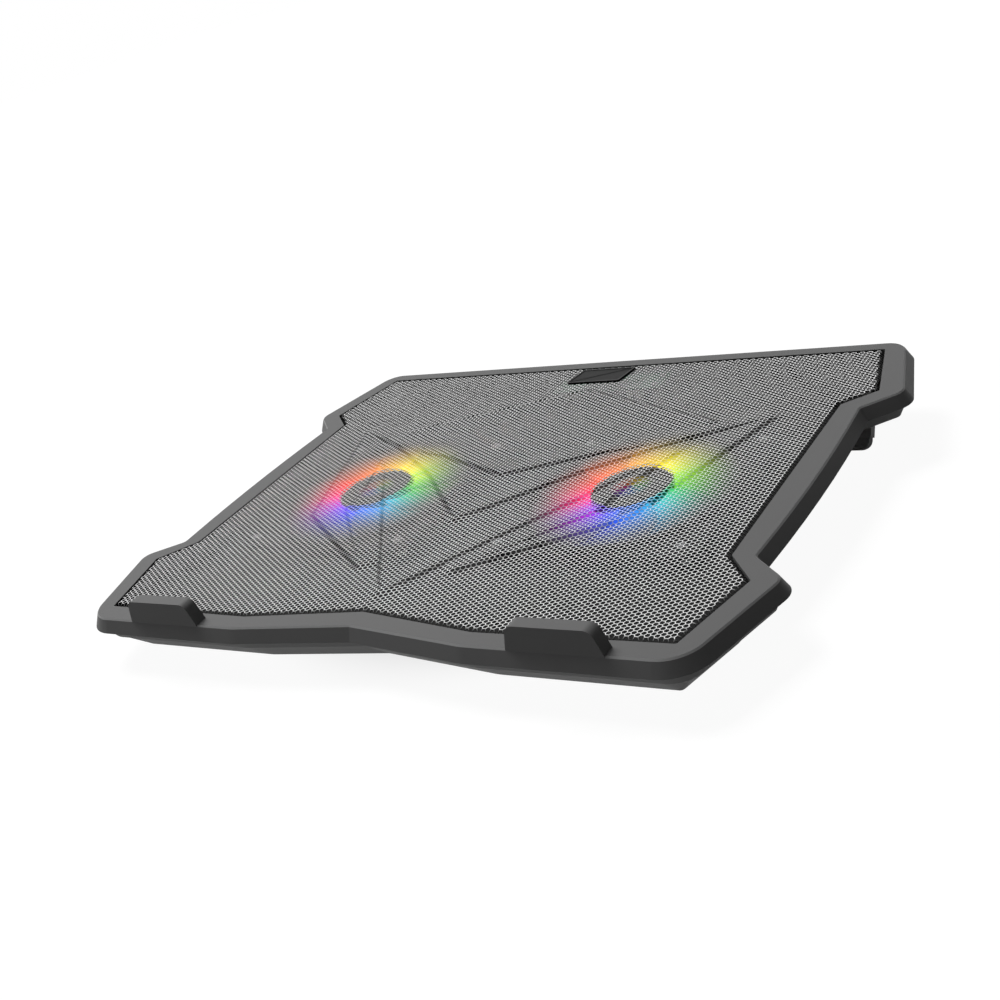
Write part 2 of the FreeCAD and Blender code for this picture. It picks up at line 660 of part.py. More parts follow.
def fan_magnet():
    outer = HUB_R - HUB_WALL
    return ring(outer, outer - MAGNET_THICK, -HUB_HANG + MAGNET_FOOT,
                -HUB_TOP - HUB_PLATE - MAGNET_TOP_GAP)


def pole_levels():
    middle = (-HUB_TOP - HUB_PLATE + FLOOR_TOP + BASE_THICK + BOARD_THICK) / 2
    return middle - POLE_HEIGHT / 2, middle + POLE_HEIGHT / 2


def stator_radius():
    return HUB_R - HUB_WALL - MAGNET_THICK - AIR_GAP


def fan_stator():
    """Iron core: a collar on the bearing tube, with a T-shaped pole for each coil."""
    z0, z1 = pole_levels()
    outer = stator_radius()
    collar = ring(TUBE_R + CORE_WALL, TUBE_R, z0, z1)
    arm = box(TUBE_R + 1, outer - POLE_SHOE / 2, -POLE_WIDTH / 2, POLE_WIDTH / 2, z0, z1)
    shoe_half = POLE_WIDTH / 2 + COIL_WALL + SHOE_OVER
    shoe = ring(outer, outer - POLE_SHOE, z0, z1)
    shoe = shoe.common(box(0, outer, -shoe_half, shoe_half, z0, z1))
    parts = around(arm, POLE_COUNT) + around(shoe, POLE_COUNT)
    body = collar.multiFuse(parts).cut(rod(TUBE_R, z0 - 1, z1 + 1))
    return body.removeSplitter()


def fan_coils():
    z0, z1 = pole_levels()
    start = TUBE_R + CORE_WALL + COIL_GAP
    half = POLE_WIDTH / 2 + COIL_WALL
    reach = half + SHOE_OVER
    end = math.sqrt((stator_radius() - POLE_SHOE) ** 2 - reach ** 2) - COIL_GAP
    coil = box(start, end, -half, half, z0 - COIL_WALL, z1 + COIL_WALL)
    coil = coil.cut(box(start - 1, end + 1, -POLE_WIDTH / 2, POLE_WIDTH / 2, z0, z1))
    return around(coil, POLE_COUNT)


def fan_board():
    under = FLOOR_TOP + BASE_THICK
    return ring(BASE_R - BOARD_INSET, TUBE_R, under, under + BOARD_THICK)


def fan_lights():
    under = FLOOR_TOP + BASE_THICK + BOARD_THICK
    middle = HUB_R + (BASE_R - BOARD_INSET - HUB_R) / 2
    led = box(middle - LED_SIZE / 2, middle + LED_SIZE / 2, -LED_SIZE / 2, LED_SIZE / 2,
              under, under + LED_HEIGHT)
    return around(led, LED_COUNT, start=90.0)


def fan_screws():
    top = FAN_FLANGE_Z + FAN_FLANGE
    screws = []
    for x, y in fan_hole_places():
        head = rod(SCREW_HEAD_R, top, top + SCREW_HEAD_H, x, y)
        shank = rod(FAN_SCREW_R, FLOOR_TOP + PILOT_FLOOR, top, x, y)
        screws.append(head.fuse(shank))
    return screws


def fan_nodes():
    nodes = {}
    for name, side in SIDES:
        makers = {"fan_frame": [fan_frame()], "fan_rotor": [fan_rotor(side)],
                  "fan_shaft": [fan_shaft()], "fan_bearing": [fan_bearing()],
                  "fan_magnet": [fan_magnet()], "fan_stator": [fan_stator()],
                  "fan_coils": fan_coils(), "fan_board": [fan_board()],
                  "fan_lights": fan_lights()}
        for kind, solids in makers.items():
            nodes[kind + "_" + name] = [moved(s, side * FAN_X, FAN_Y) for s in solids]
    return nodes


# ---------------------------------------------------------------- legs
def lean_out(shape):
    """Turn a leg that hangs straight down from the origin to where it stands."""
    return moved(turned(shape, -LEG_LEAN, axis=V(1, 0, 0)), 0.0, HINGE_Y, HINGE_Z)


def leg():
    """The right-hand leg, built hanging straight down from its hinge axis."""
    middle = LEG_OUTER - LEG_WIDTH / 2
    half, end = LEG_WIDTH / 2, LEG_LENGTH - LEG_TIP
    face = [V(middle - half, 0, 0), V(middle + half, 0, 0),
            V(middle + half - LEG_TAPER, 0, -end), V(middle - half + LEG_TAPER, 0, -end)]
    plate = Part.Face(Part.makePolygon(face + face[:1])).extrude(V(0, LEG_THICK, 0))
    plate.translate(V(0, -LEG_THICK / 2, 0))
    barrel = Part.makeCylinder(LEG_THICK / 2, LEG_WIDTH, V(middle - half, 0, 0), V(1, 0, 0))
    body = plate.fuse(barrel)
    bore = Part.makeCylinder(PIN_R + SHAFT_GAP, LEG_WIDTH + 2, V(middle - half - 1, 0, 0),
                             V(1, 0, 0))
    margin = LEG_RECESS_MARGIN
    recess = box(middle - half + margin, middle + half - margin, LEG_THICK / 2 - LEG_RECESS,
                 LEG_THICK, -end + margin, -margin)
    return lean_out(body.cut(bore).cut(recess).removeSplitter())


def leg_tip():
    """Rubber shoe: rounded at its end, and at both corners."""
    middle = LEG_OUTER - LEG_WIDTH / 2
    half = LEG_WIDTH / 2 - LEG_TAPER - TIP_STEP
    top, r = -(LEG_LENGTH - LEG_TIP), TIP_THICK / 2
    block = box(middle - half, middle + half, -r, r, -LEG_LENGTH, top)
    corners = [e for e in block.Edges
               if abs(e.CenterOfMass.z + LEG_LENGTH) < 0.01 and e.BoundBox.XLength < 0.01]
    block = block.makeFillet(TIP_CORNER_R, corners)
    stub = box(middle - half, middle + half, -r, r, -LEG_LENGTH + r, top)
    nose = Part.makeCylinder(r, 2 * half, V(middle - half, 0, -LEG_LENGTH + r), V(1, 0, 0))
    return lean_out(block.common(stub.fuse(nose)).removeSplitter())


def leg_pins():
    x0, x1, _, _ = pocket_sizes()
    pin = Part.makeCylinder(PIN_R, x1 - x0 + 2 * POCKET_WALL,
                            V(x0 - POCKET_WALL, HINGE_Y, HINGE_Z), V(1, 0, 0))
    return [pin, mirrored(pin)]


# ---------------------------------------------------------------- electrics at the back
def control_board():
    y1 = DEPTH - BOARD_BACK
    return box(BOARD_LEFT, BOARD_RIGHT, y1 - BOARD_DEPTH, y1, BOARD_UNDER,
               BOARD_UNDER + BOARD_PCB).cut(Part.makeCompound(
                   [rod(POST_SCREW_R + 0.1, BOARD_UNDER - 1, BOARD_UNDER + 2, x, y)
                    for x, y in board_post_places()]))


def board_screws():
    top = BOARD_UNDER + BOARD_PCB
    return [rod(POST_HEAD_R, top, top + POST_HEAD_H, x, y).fuse(
                rod(POST_SCREW_R, BOARD_UNDER - POST_SCREW_LENGTH, top, x, y))
            for x, y in board_post_places()]


def usb_shells():
    shells = []
    y1 = DEPTH - USB_BACK
    z0 = BOARD_UNDER - USB_HEIGHT
    for x in USB_XS:
        half = USB_WIDTH / 2
        can = box(x - half, x + half, y1 - USB_DEPTH, y1, z0, BOARD_UNDER)
        room = box(x - half + USB_WALL, x + half - USB_WALL, y1 - USB_DEPTH + USB_WALL,
                   y1 + 1, z0 + USB_WALL, BOARD_UNDER - USB_WALL)
        shells.append(can.cut(room))
    return shells


def usb_tongues():
    tongues = []
    y0 = DEPTH - USB_BACK - USB_DEPTH + USB_WALL
    top = BOARD_UNDER - USB_WALL
    for x in USB_XS:
        half = TONGUE_WIDTH / 2
        block = box(x - half, x + half, y0, y0 + TONGUE_BLOCK[0], top - TONGUE_BLOCK[1], top)
        tongue = box(x - half, x + half, y0, y0 + TONGUE_LENGTH, top - TONGUE_THICK, top)
        tongues.append(block.fuse(tongue).removeSplitter())
    return tongues


def button_middle():
    return BOARD_UNDER - SWITCH_HEIGHT / 2 - BUTTON_DROP


def light_button():
    z, half, tall = button_middle(), BUTTON_WIDTH / 2, BUTTON_HEIGHT / 2
    rear = DEPTH - BUTTON_BACK_GAP
    cap = box(BUTTON_X - half, BUTTON_X + half, rear - BUTTON_FLANGE_THICK / 2, DEPTH + BUTTON_REACH,
              z - tall, z + tall)
    rim = [e for e in cap.Edges if e.BoundBox.YMin > DEPTH]
    cap = cap.makeFillet(BUTTON_EDGE, rim)
    half += BUTTON_FLANGE
    flange = box(BUTTON_X - half, BUTTON_X + half, rear - BUTTON_FLANGE_THICK, rear,
                 z - tall - BUTTON_FLANGE_TALL, z + tall + BUTTON_FLANGE_TALL)
    return cap.fuse(flange).removeSplitter()


def button_switch():
    front = DEPTH - BUTTON_BACK_GAP - BUTTON_FLANGE_THICK - BUTTON_TRAVEL - SWITCH_GAP
    y1 = front - SWITCH_STEM
    half = SWITCH_WIDTH / 2
    can = box(BUTTON_X - half, BUTTON_X + half, y1 - SWITCH_DEPTH, y1,
              BOARD_UNDER - SWITCH_HEIGHT, BOARD_UNDER)
    stem = Part.makeCylinder(SWITCH_STEM_R, SWITCH_STEM + 1, V(BUTTON_X, y1 - 1, button_middle()),
                             V(0, 1, 0))
    return can.fuse(stem).removeSplitter()


def plug_front():
    return DEPTH - BOARD_BACK - BOARD_DEPTH


def lead_plugs():
    width, deep, tall = PLUG_SIZE
    return [box(x - width / 2, x + width / 2, plug_front(), plug_front() + deep,
                BOARD_UNDER - tall, BOARD_UNDER) for x in (PLUG_X, -PLUG_X)]


def fan_lead():
    """The right-hand fan's lead: it lies on the floor from the fan's ring to its plug."""
    z = FLOOR_TOP + LEAD_LIFT
    start_y = FAN_Y + FAN_SIZE / 2 - FAN_RING_INSET
    points = [V(FAN_X, start_y, z), V(FAN_X, start_y + LEAD_RUN, z),
              V(PLUG_X, plug_front() - LEAD_TURN, z), V(PLUG_X, plug_front(), z)]
    edges, last = [], points[0]
    for before, here, after in zip(points, points[1:], points[2:]):
        into = (here - before).normalize()
        out = (after - here).normalize()
        turn = into.getAngle(out)
        reach = LEAD_BEND * math.tan(turn / 2)
        towards = (out - into).normalize()
        middle = here + towards * (LEAD_BEND / math.cos(turn / 2) - LEAD_BEND)
        edges.append(Part.LineSegment(last, here - into * reach).toShape())
        edges.append(Part.Arc(here - into * reach, middle, here + out * reach).toShape())
        last = here + out * reach
    edges.append(Part.LineSegment(last, points[-1]).toShape())
    path = Part.Wire(edges)
    section = Part.Wire(Part.Circle(points[0], V(0, 1, 0), LEAD_R).toShape())
    return path.makePipeShell([section], True, True)


# ---------------------------------------------------------------- assembly
def deck_nodes():
    lead = fan_lead()
    nodes = {
        "top_bezel": [top_bezel()], "mesh_panel": [mesh_panel()],
        "badge_plate": [badge_plate()], "lower_shell": [lower_shell()],
        "case_screws": case_screws(), "fan_screws": fan_screws(),
        "front_bar": [foot_bar(front_bar_outline(), FRONT_BAR_LEAN)], "rear_bars": rear_bars(),
        "front_feet": feet(FRONT_FOOT_X, FRONT_FOOT_Y),
        "rear_feet": feet(REAR_BAR_START + REAR_BAR_WIDTH / 2,
                          DEPTH - REAR_BAR_BACK - REAR_BAR_DEPTH / 2),
        "leg_right": [leg()], "leg_left": [mirrored(leg())],
        "leg_tip_right": [leg_tip()], "leg_tip_left": [mirrored(leg_tip())],
        "leg_pin_right": leg_pins()[:1], "leg_pin_left": leg_pins()[1:],
        "control_board": [control_board()], "board_screws": board_screws(),
        "usb_shells": usb_shells(), "usb_tongues": usb_tongues(),
        "light_button": [light_button()], "button_switch": [button_switch()],
        "lead_plugs": lead_plugs(),
        "fan_lead_right": [lead], "fan_lead_left": [mirrored(lead)],
    }
    nodes.update(fan_nodes())
    return nodes


def tilt_angle():
    """Degrees the pad leans, with its front feet's front edge and leg tips on the table."""
    lean = math.radians(LEG_LEAN)
    r = TIP_THICK / 2
    reach = LEG_LENGTH - r
    dy = HINGE_Y - reach * math.sin(lean) - (FRONT_FOOT_Y - FOOT_WIDTH / 2)
    dz = HINGE_Z - reach * math.cos(lean) - FOOT_BOTTOM
    return math.degrees(math.asin(r / math.hypot(dy, dz)) - math.atan2(dz, dy))


def tipped(shape, tilt):
    return turned(shape, tilt, axis=V(1, 0, 0))


def main():
    os.makedirs("parts", exist_ok=True)
    tilt = tilt_angle()
    nodes = {name: [tipped(s, tilt) for s in solids] for name, solids in deck_nodes().items()}
    everything = Part.makeCompound([s for solids in nodes.values() for s in solids])
    room = everything.optimalBoundingBox(False, False)
    shift = V(-(room.XMin + room.XMax) / 2, -(room.YMin + room.YMax) / 2, -room.ZMin)
    for name, solids in sorted(nodes.items()):
        solids = [moved(s, shift.x, shift.y, shift.z) for s in solids]
        shape = solids[0] if len(solids) == 1 else Part.makeCompound(solids)
        shape.exportStep("parts/" + name + ".step")
        print("node", name, len(shape.Solids), "solids", round(shape.Volume, 1), "mm3",
              "valid" if shape.isValid() else "NOT VALID")
    print("size", round(room.XLength, 3), round(room.YLength, 3), round(room.ZLength, 3))
    print("tilt", tilt, "shift", shift.x, shift.y, shift.z)
    places = {
        "fan_right": V(FAN_X, FAN_Y, -HUB_TOP), "fan_left": V(-FAN_X, FAN_Y, -HUB_TOP),
        "leg_hinge": V(0, HINGE_Y, HINGE_Z), "deck_middle": V(0, DEPTH / 2, MESH_TOP),
        "button": V(BUTTON_X, DEPTH, button_middle()),
        "usb_mouth": V(USB_XS[0], DEPTH - USB_BACK, BOARD_UNDER - USB_HEIGHT / 2),
    }
    axis = V(1, 0, 0)
    for name, place in places.items():
        spot = FreeCAD.Rotation(axis, tilt).multVec(place) + shift
        print("place", name, round(spot.x, 4), round(spot.y, 4), round(spot.z, 4))


main()
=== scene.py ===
# %% [markdown]
# # A laptop cooling pad
# The pad is a thin tray: a moulded bezel holds a creased sheet of hexagonal mesh, and two fans
# under it glow in a wheel of colours.  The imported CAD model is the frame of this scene.  Every
# plain moulding keeps its CAD mesh and gets a finish.  The mesh deck, the rotors and the badge
# are modelled here, because their look is in detail that the CAD leaves out.

# %% Load the frame
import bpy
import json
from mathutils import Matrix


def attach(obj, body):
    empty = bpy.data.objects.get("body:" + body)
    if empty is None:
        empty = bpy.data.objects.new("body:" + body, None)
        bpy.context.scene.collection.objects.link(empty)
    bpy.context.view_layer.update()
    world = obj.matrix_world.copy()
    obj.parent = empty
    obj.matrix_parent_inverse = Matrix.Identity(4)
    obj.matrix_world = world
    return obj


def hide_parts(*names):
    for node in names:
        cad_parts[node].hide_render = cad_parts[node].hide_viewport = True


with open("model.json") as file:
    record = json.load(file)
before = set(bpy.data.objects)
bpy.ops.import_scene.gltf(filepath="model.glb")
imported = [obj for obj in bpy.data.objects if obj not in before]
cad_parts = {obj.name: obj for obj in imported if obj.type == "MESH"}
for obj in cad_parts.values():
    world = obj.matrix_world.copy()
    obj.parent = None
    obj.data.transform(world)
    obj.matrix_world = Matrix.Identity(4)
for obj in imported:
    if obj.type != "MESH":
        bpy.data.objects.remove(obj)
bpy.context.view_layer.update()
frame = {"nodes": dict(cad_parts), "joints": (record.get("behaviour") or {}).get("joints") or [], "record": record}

# %% Imports
import json
import math
import bmesh
import bpy
from mathutils import Matrix, Vector

MM = 0.001
record = frame["record"]

# %% [markdown]
# The pad stands on its legs, so its deck leans by a degree or two.  It is far easier to model
# it as it would lie flat on a bench, in "deck" millimetres: x to the right, y from the front edge
# to the back, z up from the bezel's top face.  One matrix then lays each finished mesh in place.
# The lean and the middle of the deck come from the frame's own record.

# %% Deck coordinates
DECK_DEPTH = 269.1
MESH_RISE = 0.4              # the mesh's flat, above the bezel's top face

deck_mount = next(m for m in record["mounts"] if m["name"] == "deck")
TILT = math.atan2(-deck_mount["axis"][1], deck_mount["axis"][2])
deck_turn = Matrix.Rotation(TILT, 4, "X")
deck_middle = Vector((0, DECK_DEPTH / 2, MESH_RISE)) * MM
deck_origin = Vector(deck_mount["pos_m"]) - deck_turn @ deck_middle
DECK = Matrix.Translation(deck_origin) @ deck_turn @ Matrix.Scale(MM, 4)
print("deck leans back", round(math.degrees(TILT), 2), "degrees")


def joint_place(name):
    """Where a joint of the frame lies, in deck millimetres."""
    joint = next(j for j in frame["joints"] if j["name"] == name)
    return DECK.inverted() @ Vector(joint["pos_m"])


FAN_CENTRES = {side: joint_place("fan_spin_" + side) for side in ("left", "right")}

# %% [markdown]
# ## Camera
# The camera stands in front and to the right, about 65 cm away, with a normal lens.
# The camera is held a little askew, so its upright direction is given in deck coordinates too:
# it leans straight back over the pad, and the matrix is built from the look and that direction.

# %% Camera
CAMERA_AT = Vector((395.6, -349.5, 269.8))
LOOK_AT = Vector((13.8, 114.5, 0.0))
CAMERA_UP = Vector((0.0, 0.503, 0.864))
LENS, SENSOR = 50, 36        # millimetres
NEAREST = 0.01               # metres


def add_camera():
    back = (CAMERA_AT - LOOK_AT).normalized()
    across = CAMERA_UP.cross(back).normalized()
    turn = Matrix((across, back.cross(across), back)).transposed().to_4x4()
    data = bpy.data.cameras.new("camera")
    data.lens = LENS
    data.sensor_width = SENSOR
    data.clip_start = NEAREST
    camera = bpy.data.objects.new("camera", data)
    bpy.context.scene.collection.objects.link(camera)
    camera.matrix_world = Matrix.Translation(DECK @ CAMERA_AT) @ deck_turn @ turn
    bpy.context.scene.camera = camera
    return camera


camera = add_camera()
print("camera", [round(v, 3) for v in camera.location])

# %% [markdown]
# ## A small shader language
# A material is a sum of small decisions: where, how much, which colour.  Wrapping a socket in a
# class that knows + - * / lets those decisions be written as expressions.  Everything that isn't
# arithmetic comes from one method, which sets a node's own settings first and its sockets after.
# The world has a node tree too, so the tree is one class and a material with its shader another.
# The pad's patterns lie in deck millimetres, so a number in them is a size on the real pad.

# %% Sockets that do arithmetic
class Value:
    """An output socket; arithmetic on it adds Math nodes."""

    def __init__(self, nodes, socket):
        self.nodes = nodes
        self.socket = socket

    def math(self, operation, *others, flip=False):
        values = [self, *others]
        if flip:
            values.reverse()
        return self.nodes.node("ShaderNodeMath", {"operation": operation},
                               dict(enumerate(values))).out(0)

    def __add__(self, other):
        return self.math("ADD", other)

    def __sub__(self, other):
        return self.math("SUBTRACT", other)

    def __rsub__(self, other):
        return self.math("SUBTRACT", other, flip=True)

    def __mul__(self, other):
        return self.math("MULTIPLY", other)

    def __truediv__(self, other):
        return self.math("DIVIDE", other)

    def __rtruediv__(self, other):
        return self.math("DIVIDE", other, flip=True)

    __radd__ = __add__
    __rmul__ = __mul__


class Placed:
    """A node in a tree, with its outputs wrapped."""

    def __init__(self, nodes, made):
        self.nodes = nodes
        self.made = made

    def out(self, key):
        return Value(self.nodes, self.made.outputs[key])


# %% Nodes of a material or of the world
def set_stops(elements, stops):
    """Give a ramp its stops: pairs of a place from 0 to 1 and a colour."""
    while len(elements) < len(stops):
        elements.new(0.5)
    for element, (place, color) in zip(elements, stops):
        element.position = place
        element.color = color


class NodeTree:
    """The nodes of a material or of the world."""

    def __init__(self, tree):
        self.tree = tree
        self.tree.nodes.clear()

    def node(self, kind, settings=None, sockets=None):
        made = self.tree.nodes.new(kind)
        for name, value in (settings or {}).items():
            if name == "stops":
                set_stops(made.color_ramp.elements, value)
            else:
                setattr(made, name, value)
        for key, value in (sockets or {}).items():
            self.feed(made.inputs[key], value)
        return Placed(self, made)

    def feed(self, socket, value):
        """Link a value to a socket, or set the socket to a plain number or colour."""
        if isinstance(value, Value):
            self.tree.links.new(value.socket, socket)
        else:
            socket.default_value = value

    def seen_directly(self):
        """1 where the camera sees a surface, or sees it in metal, in gloss or through glass."""
        path = self.node("ShaderNodeLightPath")
        seen = path.out("Is Camera Ray")
        for kind in ("Is Glossy Ray", "Is Transmission Ray"):
            seen = seen.math("MAXIMUM", path.out(kind))
        return seen


# %% A material
class Sheet(NodeTree):
    """A material with one Principled shader, and the nodes that feed it."""

    def __init__(self, name, **settings):
        self.material = bpy.data.materials.new(name)
        self.material.use_nodes = True
        super().__init__(self.material.node_tree)
        self.shader = self.node("ShaderNodeBsdfPrincipled")
        self.node("ShaderNodeOutputMaterial", {}, {0: self.shader.out(0)})
        self.set(**settings)

    def set(self, **sockets):
        """Give shader sockets their values: base_color=..., roughness=... and so on."""
        for key, value in sockets.items():
            label = key.replace("_", " ").title().replace("Ior", "IOR")
            self.feed(self.shader.made.inputs[label], value)

    def deck(self, x=0.0, y=0.0):
        """Object coordinates in deck millimetres, counted from a point of the deck."""
        centre = DECK @ Vector((x, y, 0.0))
        place = self.node("ShaderNodeTexCoord").out("Object")
        return self.node("ShaderNodeMapping", {"vector_type": "TEXTURE"},
                         {"Vector": place, "Location": centre, "Rotation": (TILT, 0, 0),
                          "Scale": (MM, MM, MM)}).out(0)

    def facing_up(self):
        """How far a face looks up: 1 where it lies level, 0 on a wall."""
        return self.split(self.node("ShaderNodeTexCoord").out("Normal"))[2]

    def noise(self, where, scale, detail=2.0, roughness=0.5):
        """Cloudy noise from 0 to 1, with about one lump in 1 / scale millimetres."""
        return self.node("ShaderNodeTexNoise", {"normalize": True},
                         {"Vector": where, "Scale": scale, "Detail": detail,
                          "Roughness": roughness}).out(0)

    def split(self, vector):
        made = self.node("ShaderNodeSeparateXYZ", {}, {0: vector})
        return made.out(0), made.out(1), made.out(2)

    def between(self, value, low, high):
        """0 below low, 1 above high, and a smooth rise from one to the other."""
        return self.node("ShaderNodeMapRange", {"interpolation_type": "SMOOTHSTEP", "clamp": True},
                         {0: value, 1: low, 2: high, 3: 0.0, 4: 1.0}).out(0)

    def mix(self, factor, first, second):
        """The first colour where the factor is 0, the second where it is 1."""
        return self.node("ShaderNodeMix", {"data_type": "RGBA"},
                         {0: factor, 6: first, 7: second}).out(2)

    def scaled(self, color, amount):
        """A colour made weaker by a value."""
        return self.mix(amount, grey(0.0), color)

    def bump(self, height, depth, strength):
        """A normal for a surface whose relief is depth millimetres."""
        return self.node("ShaderNodeBump", {}, {"Strength": strength, "Distance": depth * MM,
                                                "Height": height}).out(0)


def rgb(red, green, blue):
    return (red, green, blue, 1.0)


def grey(level):
    return rgb(level, level, level)

# %% [markdown]
# ## Moulded plastics
# The casing is injection moulded and spark-textured: no gloss, a very fine grain, and a faint
# cloudiness where the texture varies.  Handling polishes it slightly, so roughness drifts too.
# One function makes all the mouldings, with their own colour and grain.  The bezel's top edge is
# broken by a small chamfer, which is painted paler as a painted highlight: its faces are found by
# their slope.  The laptop stops have slopes too, but they lie above the bezel's top face, so height
# leaves them out.

# %% Moulded plastic
PLASTIC_SHINE = 0.12         # specular level: spark texture swallows most of the gloss
GRAIN, GRAIN_DEPTH = 0.35, 0.03
# A chamfer's face looks up further than a wall does, and less far than a level face.
CHAMFER_STEEP = (0.5, 0.62)
CHAMFER_LEVEL = (0.88, 0.97)
STOP_FOOT = (0.05, 0.3)      # heights between which a laptop stop begins
HIGHLIGHT_PALER = 3.0             # how many times paler the painted highlight is at its fullest


def chamfer_highlight(sheet, where):
    """Where the painted highlight goes: 1 on the chamfer round the bezel's top face, and 0 elsewhere."""
    facing = sheet.facing_up()
    sloped = sheet.between(facing, *CHAMFER_STEEP) * (1.0 - sheet.between(facing, *CHAMFER_LEVEL))
    return sloped * (1.0 - sheet.between(sheet.split(where)[2], *STOP_FOOT))


def moulded(name, level, rough=0.55, tint=(1.0, 1.0, 1.0), highlight=0.0):
    """A moulding: level is how much light it sends back; the last argument is its chamfer's painted highlight."""
    sheet = Sheet(name, specular_ior_level=PLASTIC_SHINE)
    where = sheet.deck()
    cloud = sheet.noise(where, scale=0.035, detail=3.0)
    fine = sheet.noise(where, scale=1.0 / GRAIN, roughness=0.6)
    dark = rgb(*(level * 0.9 * t for t in tint))
    light = rgb(*(level * 1.1 * t for t in tint))
    color = sheet.mix(cloud * 0.75 + fine * 0.25, dark, light)
    if highlight:
        # painted highlight: the chamfer is made paler than the plastic
        color = sheet.mix(chamfer_highlight(sheet, where) * highlight, color, grey(level * HIGHLIGHT_PALER))
    sheet.set(base_color=color,
              roughness=rough - 0.06 + cloud * 0.08 + fine * 0.06,
              normal=sheet.bump(fine, GRAIN_DEPTH, 0.5))
    return sheet.material

# %% [markdown]
# The lower shell is a paler plastic of the same kind.  Through the mesh one looks down on its
# inner floor, which has to stay dark, or the holes of the mesh would look grey.  So the faces that
# look up are painted nearly black, a painted shade for the dark inside of the tray.

# %% Lower shell
SHELL_LEVELS = (0.19, 0.24)
# painted shade: the level to which the shell's inner floor is painted, near black
SHELL_FLOOR_SHADE = 0.006
INNER_FLOOR = (0.6, 0.9)     # a face that looks up this far lies inside the shell


def shell_finish():
    """The lower shell: textured outside, and painted much darker on its inner floor as painted shade."""
    sheet = Sheet("shell_texture", specular_ior_level=PLASTIC_SHINE)
    where = sheet.deck()
    cloud = sheet.noise(where, scale=0.04, detail=3.0)
    fine = sheet.noise(where, scale=2.6, roughness=0.6)
    # painted shade: the faces that look up are painted near black
    inner = sheet.between(sheet.facing_up(), *INNER_FLOOR)
    outside = sheet.mix(cloud * 0.7 + fine * 0.3, *map(grey, SHELL_LEVELS))
    sheet.set(base_color=sheet.mix(inner, outside, grey(SHELL_FLOOR_SHADE)),
              roughness=0.56 + fine * 0.1,
              normal=sheet.bump(fine, GRAIN_DEPTH, 0.5))
    return sheet.material

# %% [markdown]
# ## Metals, rubber and circuit boards
# Screws, pins and sockets are small pieces of steel, brushed along one axis: noise that is
# stretched many times one way does it.  Rubber is rough and lightly dusty.  A circuit board is
# green lacquer over copper tracks, and the cells of a Voronoi pattern, measured by city blocks,
# give bands with the straight edges of such tracks.

# %% Metals, rubber and boards
def brushed(name, color, rough=0.32, along=(1.0, 30.0, 30.0)):
    """Brushed metal; along says how many times finer the lines are on each axis."""
    sheet = Sheet(name, metallic=1.0)
    stretched = sheet.node("ShaderNodeVectorMath", {"operation": "MULTIPLY"},
                           {0: sheet.deck(), 1: along}).out(0)
    lines = sheet.noise(stretched, scale=0.25, detail=3.0)
    dark = rgb(*(c * 0.8 for c in color))
    sheet.set(base_color=sheet.mix(lines, dark, rgb(*color)),
              roughness=rough - 0.08 + lines * 0.2,
              normal=sheet.bump(lines, 0.01, 0.3))
    return sheet.material


def rubber(name, level):
    """Rough rubber, or a lead's soft jacket, with a little dust."""
    sheet = Sheet(name, specular_ior_level=0.25)
    where = sheet.deck()
    dust = sheet.noise(where, scale=0.3, detail=4.0)
    fine = sheet.noise(where, scale=4.0, detail=1.0)
    sheet.set(base_color=sheet.mix(dust, grey(level * 0.8), grey(level * 1.25)),
              roughness=0.72 + dust * 0.15,
              normal=sheet.bump(fine, 0.04, 0.5))
    return sheet.material


def laminate(name):
    """A circuit board: solder mask over copper tracks that show as raised, paler bands."""
    sheet = Sheet(name, coat_weight=0.4, coat_roughness=0.15)
    where = sheet.deck()
    cells = sheet.node("ShaderNodeTexVoronoi", {"distance": "MANHATTAN", "feature": "F1"},
                       {"Vector": where, "Scale": 0.45}).out(0)
    track = sheet.between(cells, 0.42, 0.5)
    sheet.set(base_color=sheet.mix(track, rgb(0.012, 0.06, 0.035), rgb(0.03, 0.12, 0.06)),
              roughness=0.4 - track * 0.1,
              normal=sheet.bump(track, 0.03, 0.4))
    return sheet.material

# %% [markdown]
# ## The colour wheel
# Eight colour lamps sit round each hub, each a different hue, and shine outwards through the
# blades.  On the deck that makes a wheel: green on the right, then yellow, orange and red anti-
# clockwise, violet and blue in front, and cyan back to green.  It is brightest beside the hub
# and fades away past the ring.  The angle round the hub picks from a ramp, whose stops are parts
# of a turn, and the radius fades it.

# %% Colour wheel
WHEEL = ((0.00, (0.03, 0.52, 0.06)), (0.09, (0.35, 0.75, 0.03)), (0.19, (1.00, 0.92, 0.04)),
         (0.27, (1.00, 0.62, 0.03)), (0.36, (1.00, 0.25, 0.02)), (0.48, (0.95, 0.03, 0.02)),
         (0.57, (0.90, 0.02, 0.25)), (0.65, (0.35, 0.02, 0.70)), (0.74, (0.03, 0.05, 0.85)),
         (0.84, (0.02, 0.26, 0.85)), (0.92, (0.02, 0.55, 0.62)), (0.97, (0.03, 0.58, 0.25)))
WHEEL_STOPS = [(place, rgb(*color)) for place, color in WHEEL + ((1.0, WHEEL[0][1]),)]
HUB_RADIUS = 19.5
GLOW_FROM, GLOW_TO = HUB_RADIUS - 6.0, 58.0


def wheel_of(sheet, where):
    """Colour and distance from the fan's axis, for a point counted from that axis."""
    x, y, _ = sheet.split(where)
    turn = y.math("ARCTAN2", x) / (2 * math.pi)
    ramp = sheet.node("ShaderNodeValToRGB", {"stops": WHEEL_STOPS},
                      {0: turn.math("FLOORED_MODULO", 1.0)})
    radius = (x * x + y * y).math("SQRT")
    return ramp.out(0), radius


def glow_fade(sheet, radius):
    """1 beside the hub, falling smoothly to 0 past the ring."""
    fade = 1.0 - sheet.between(radius, GLOW_FROM, GLOW_TO)
    return fade * fade


print(len(WHEEL), "colours round each hub")

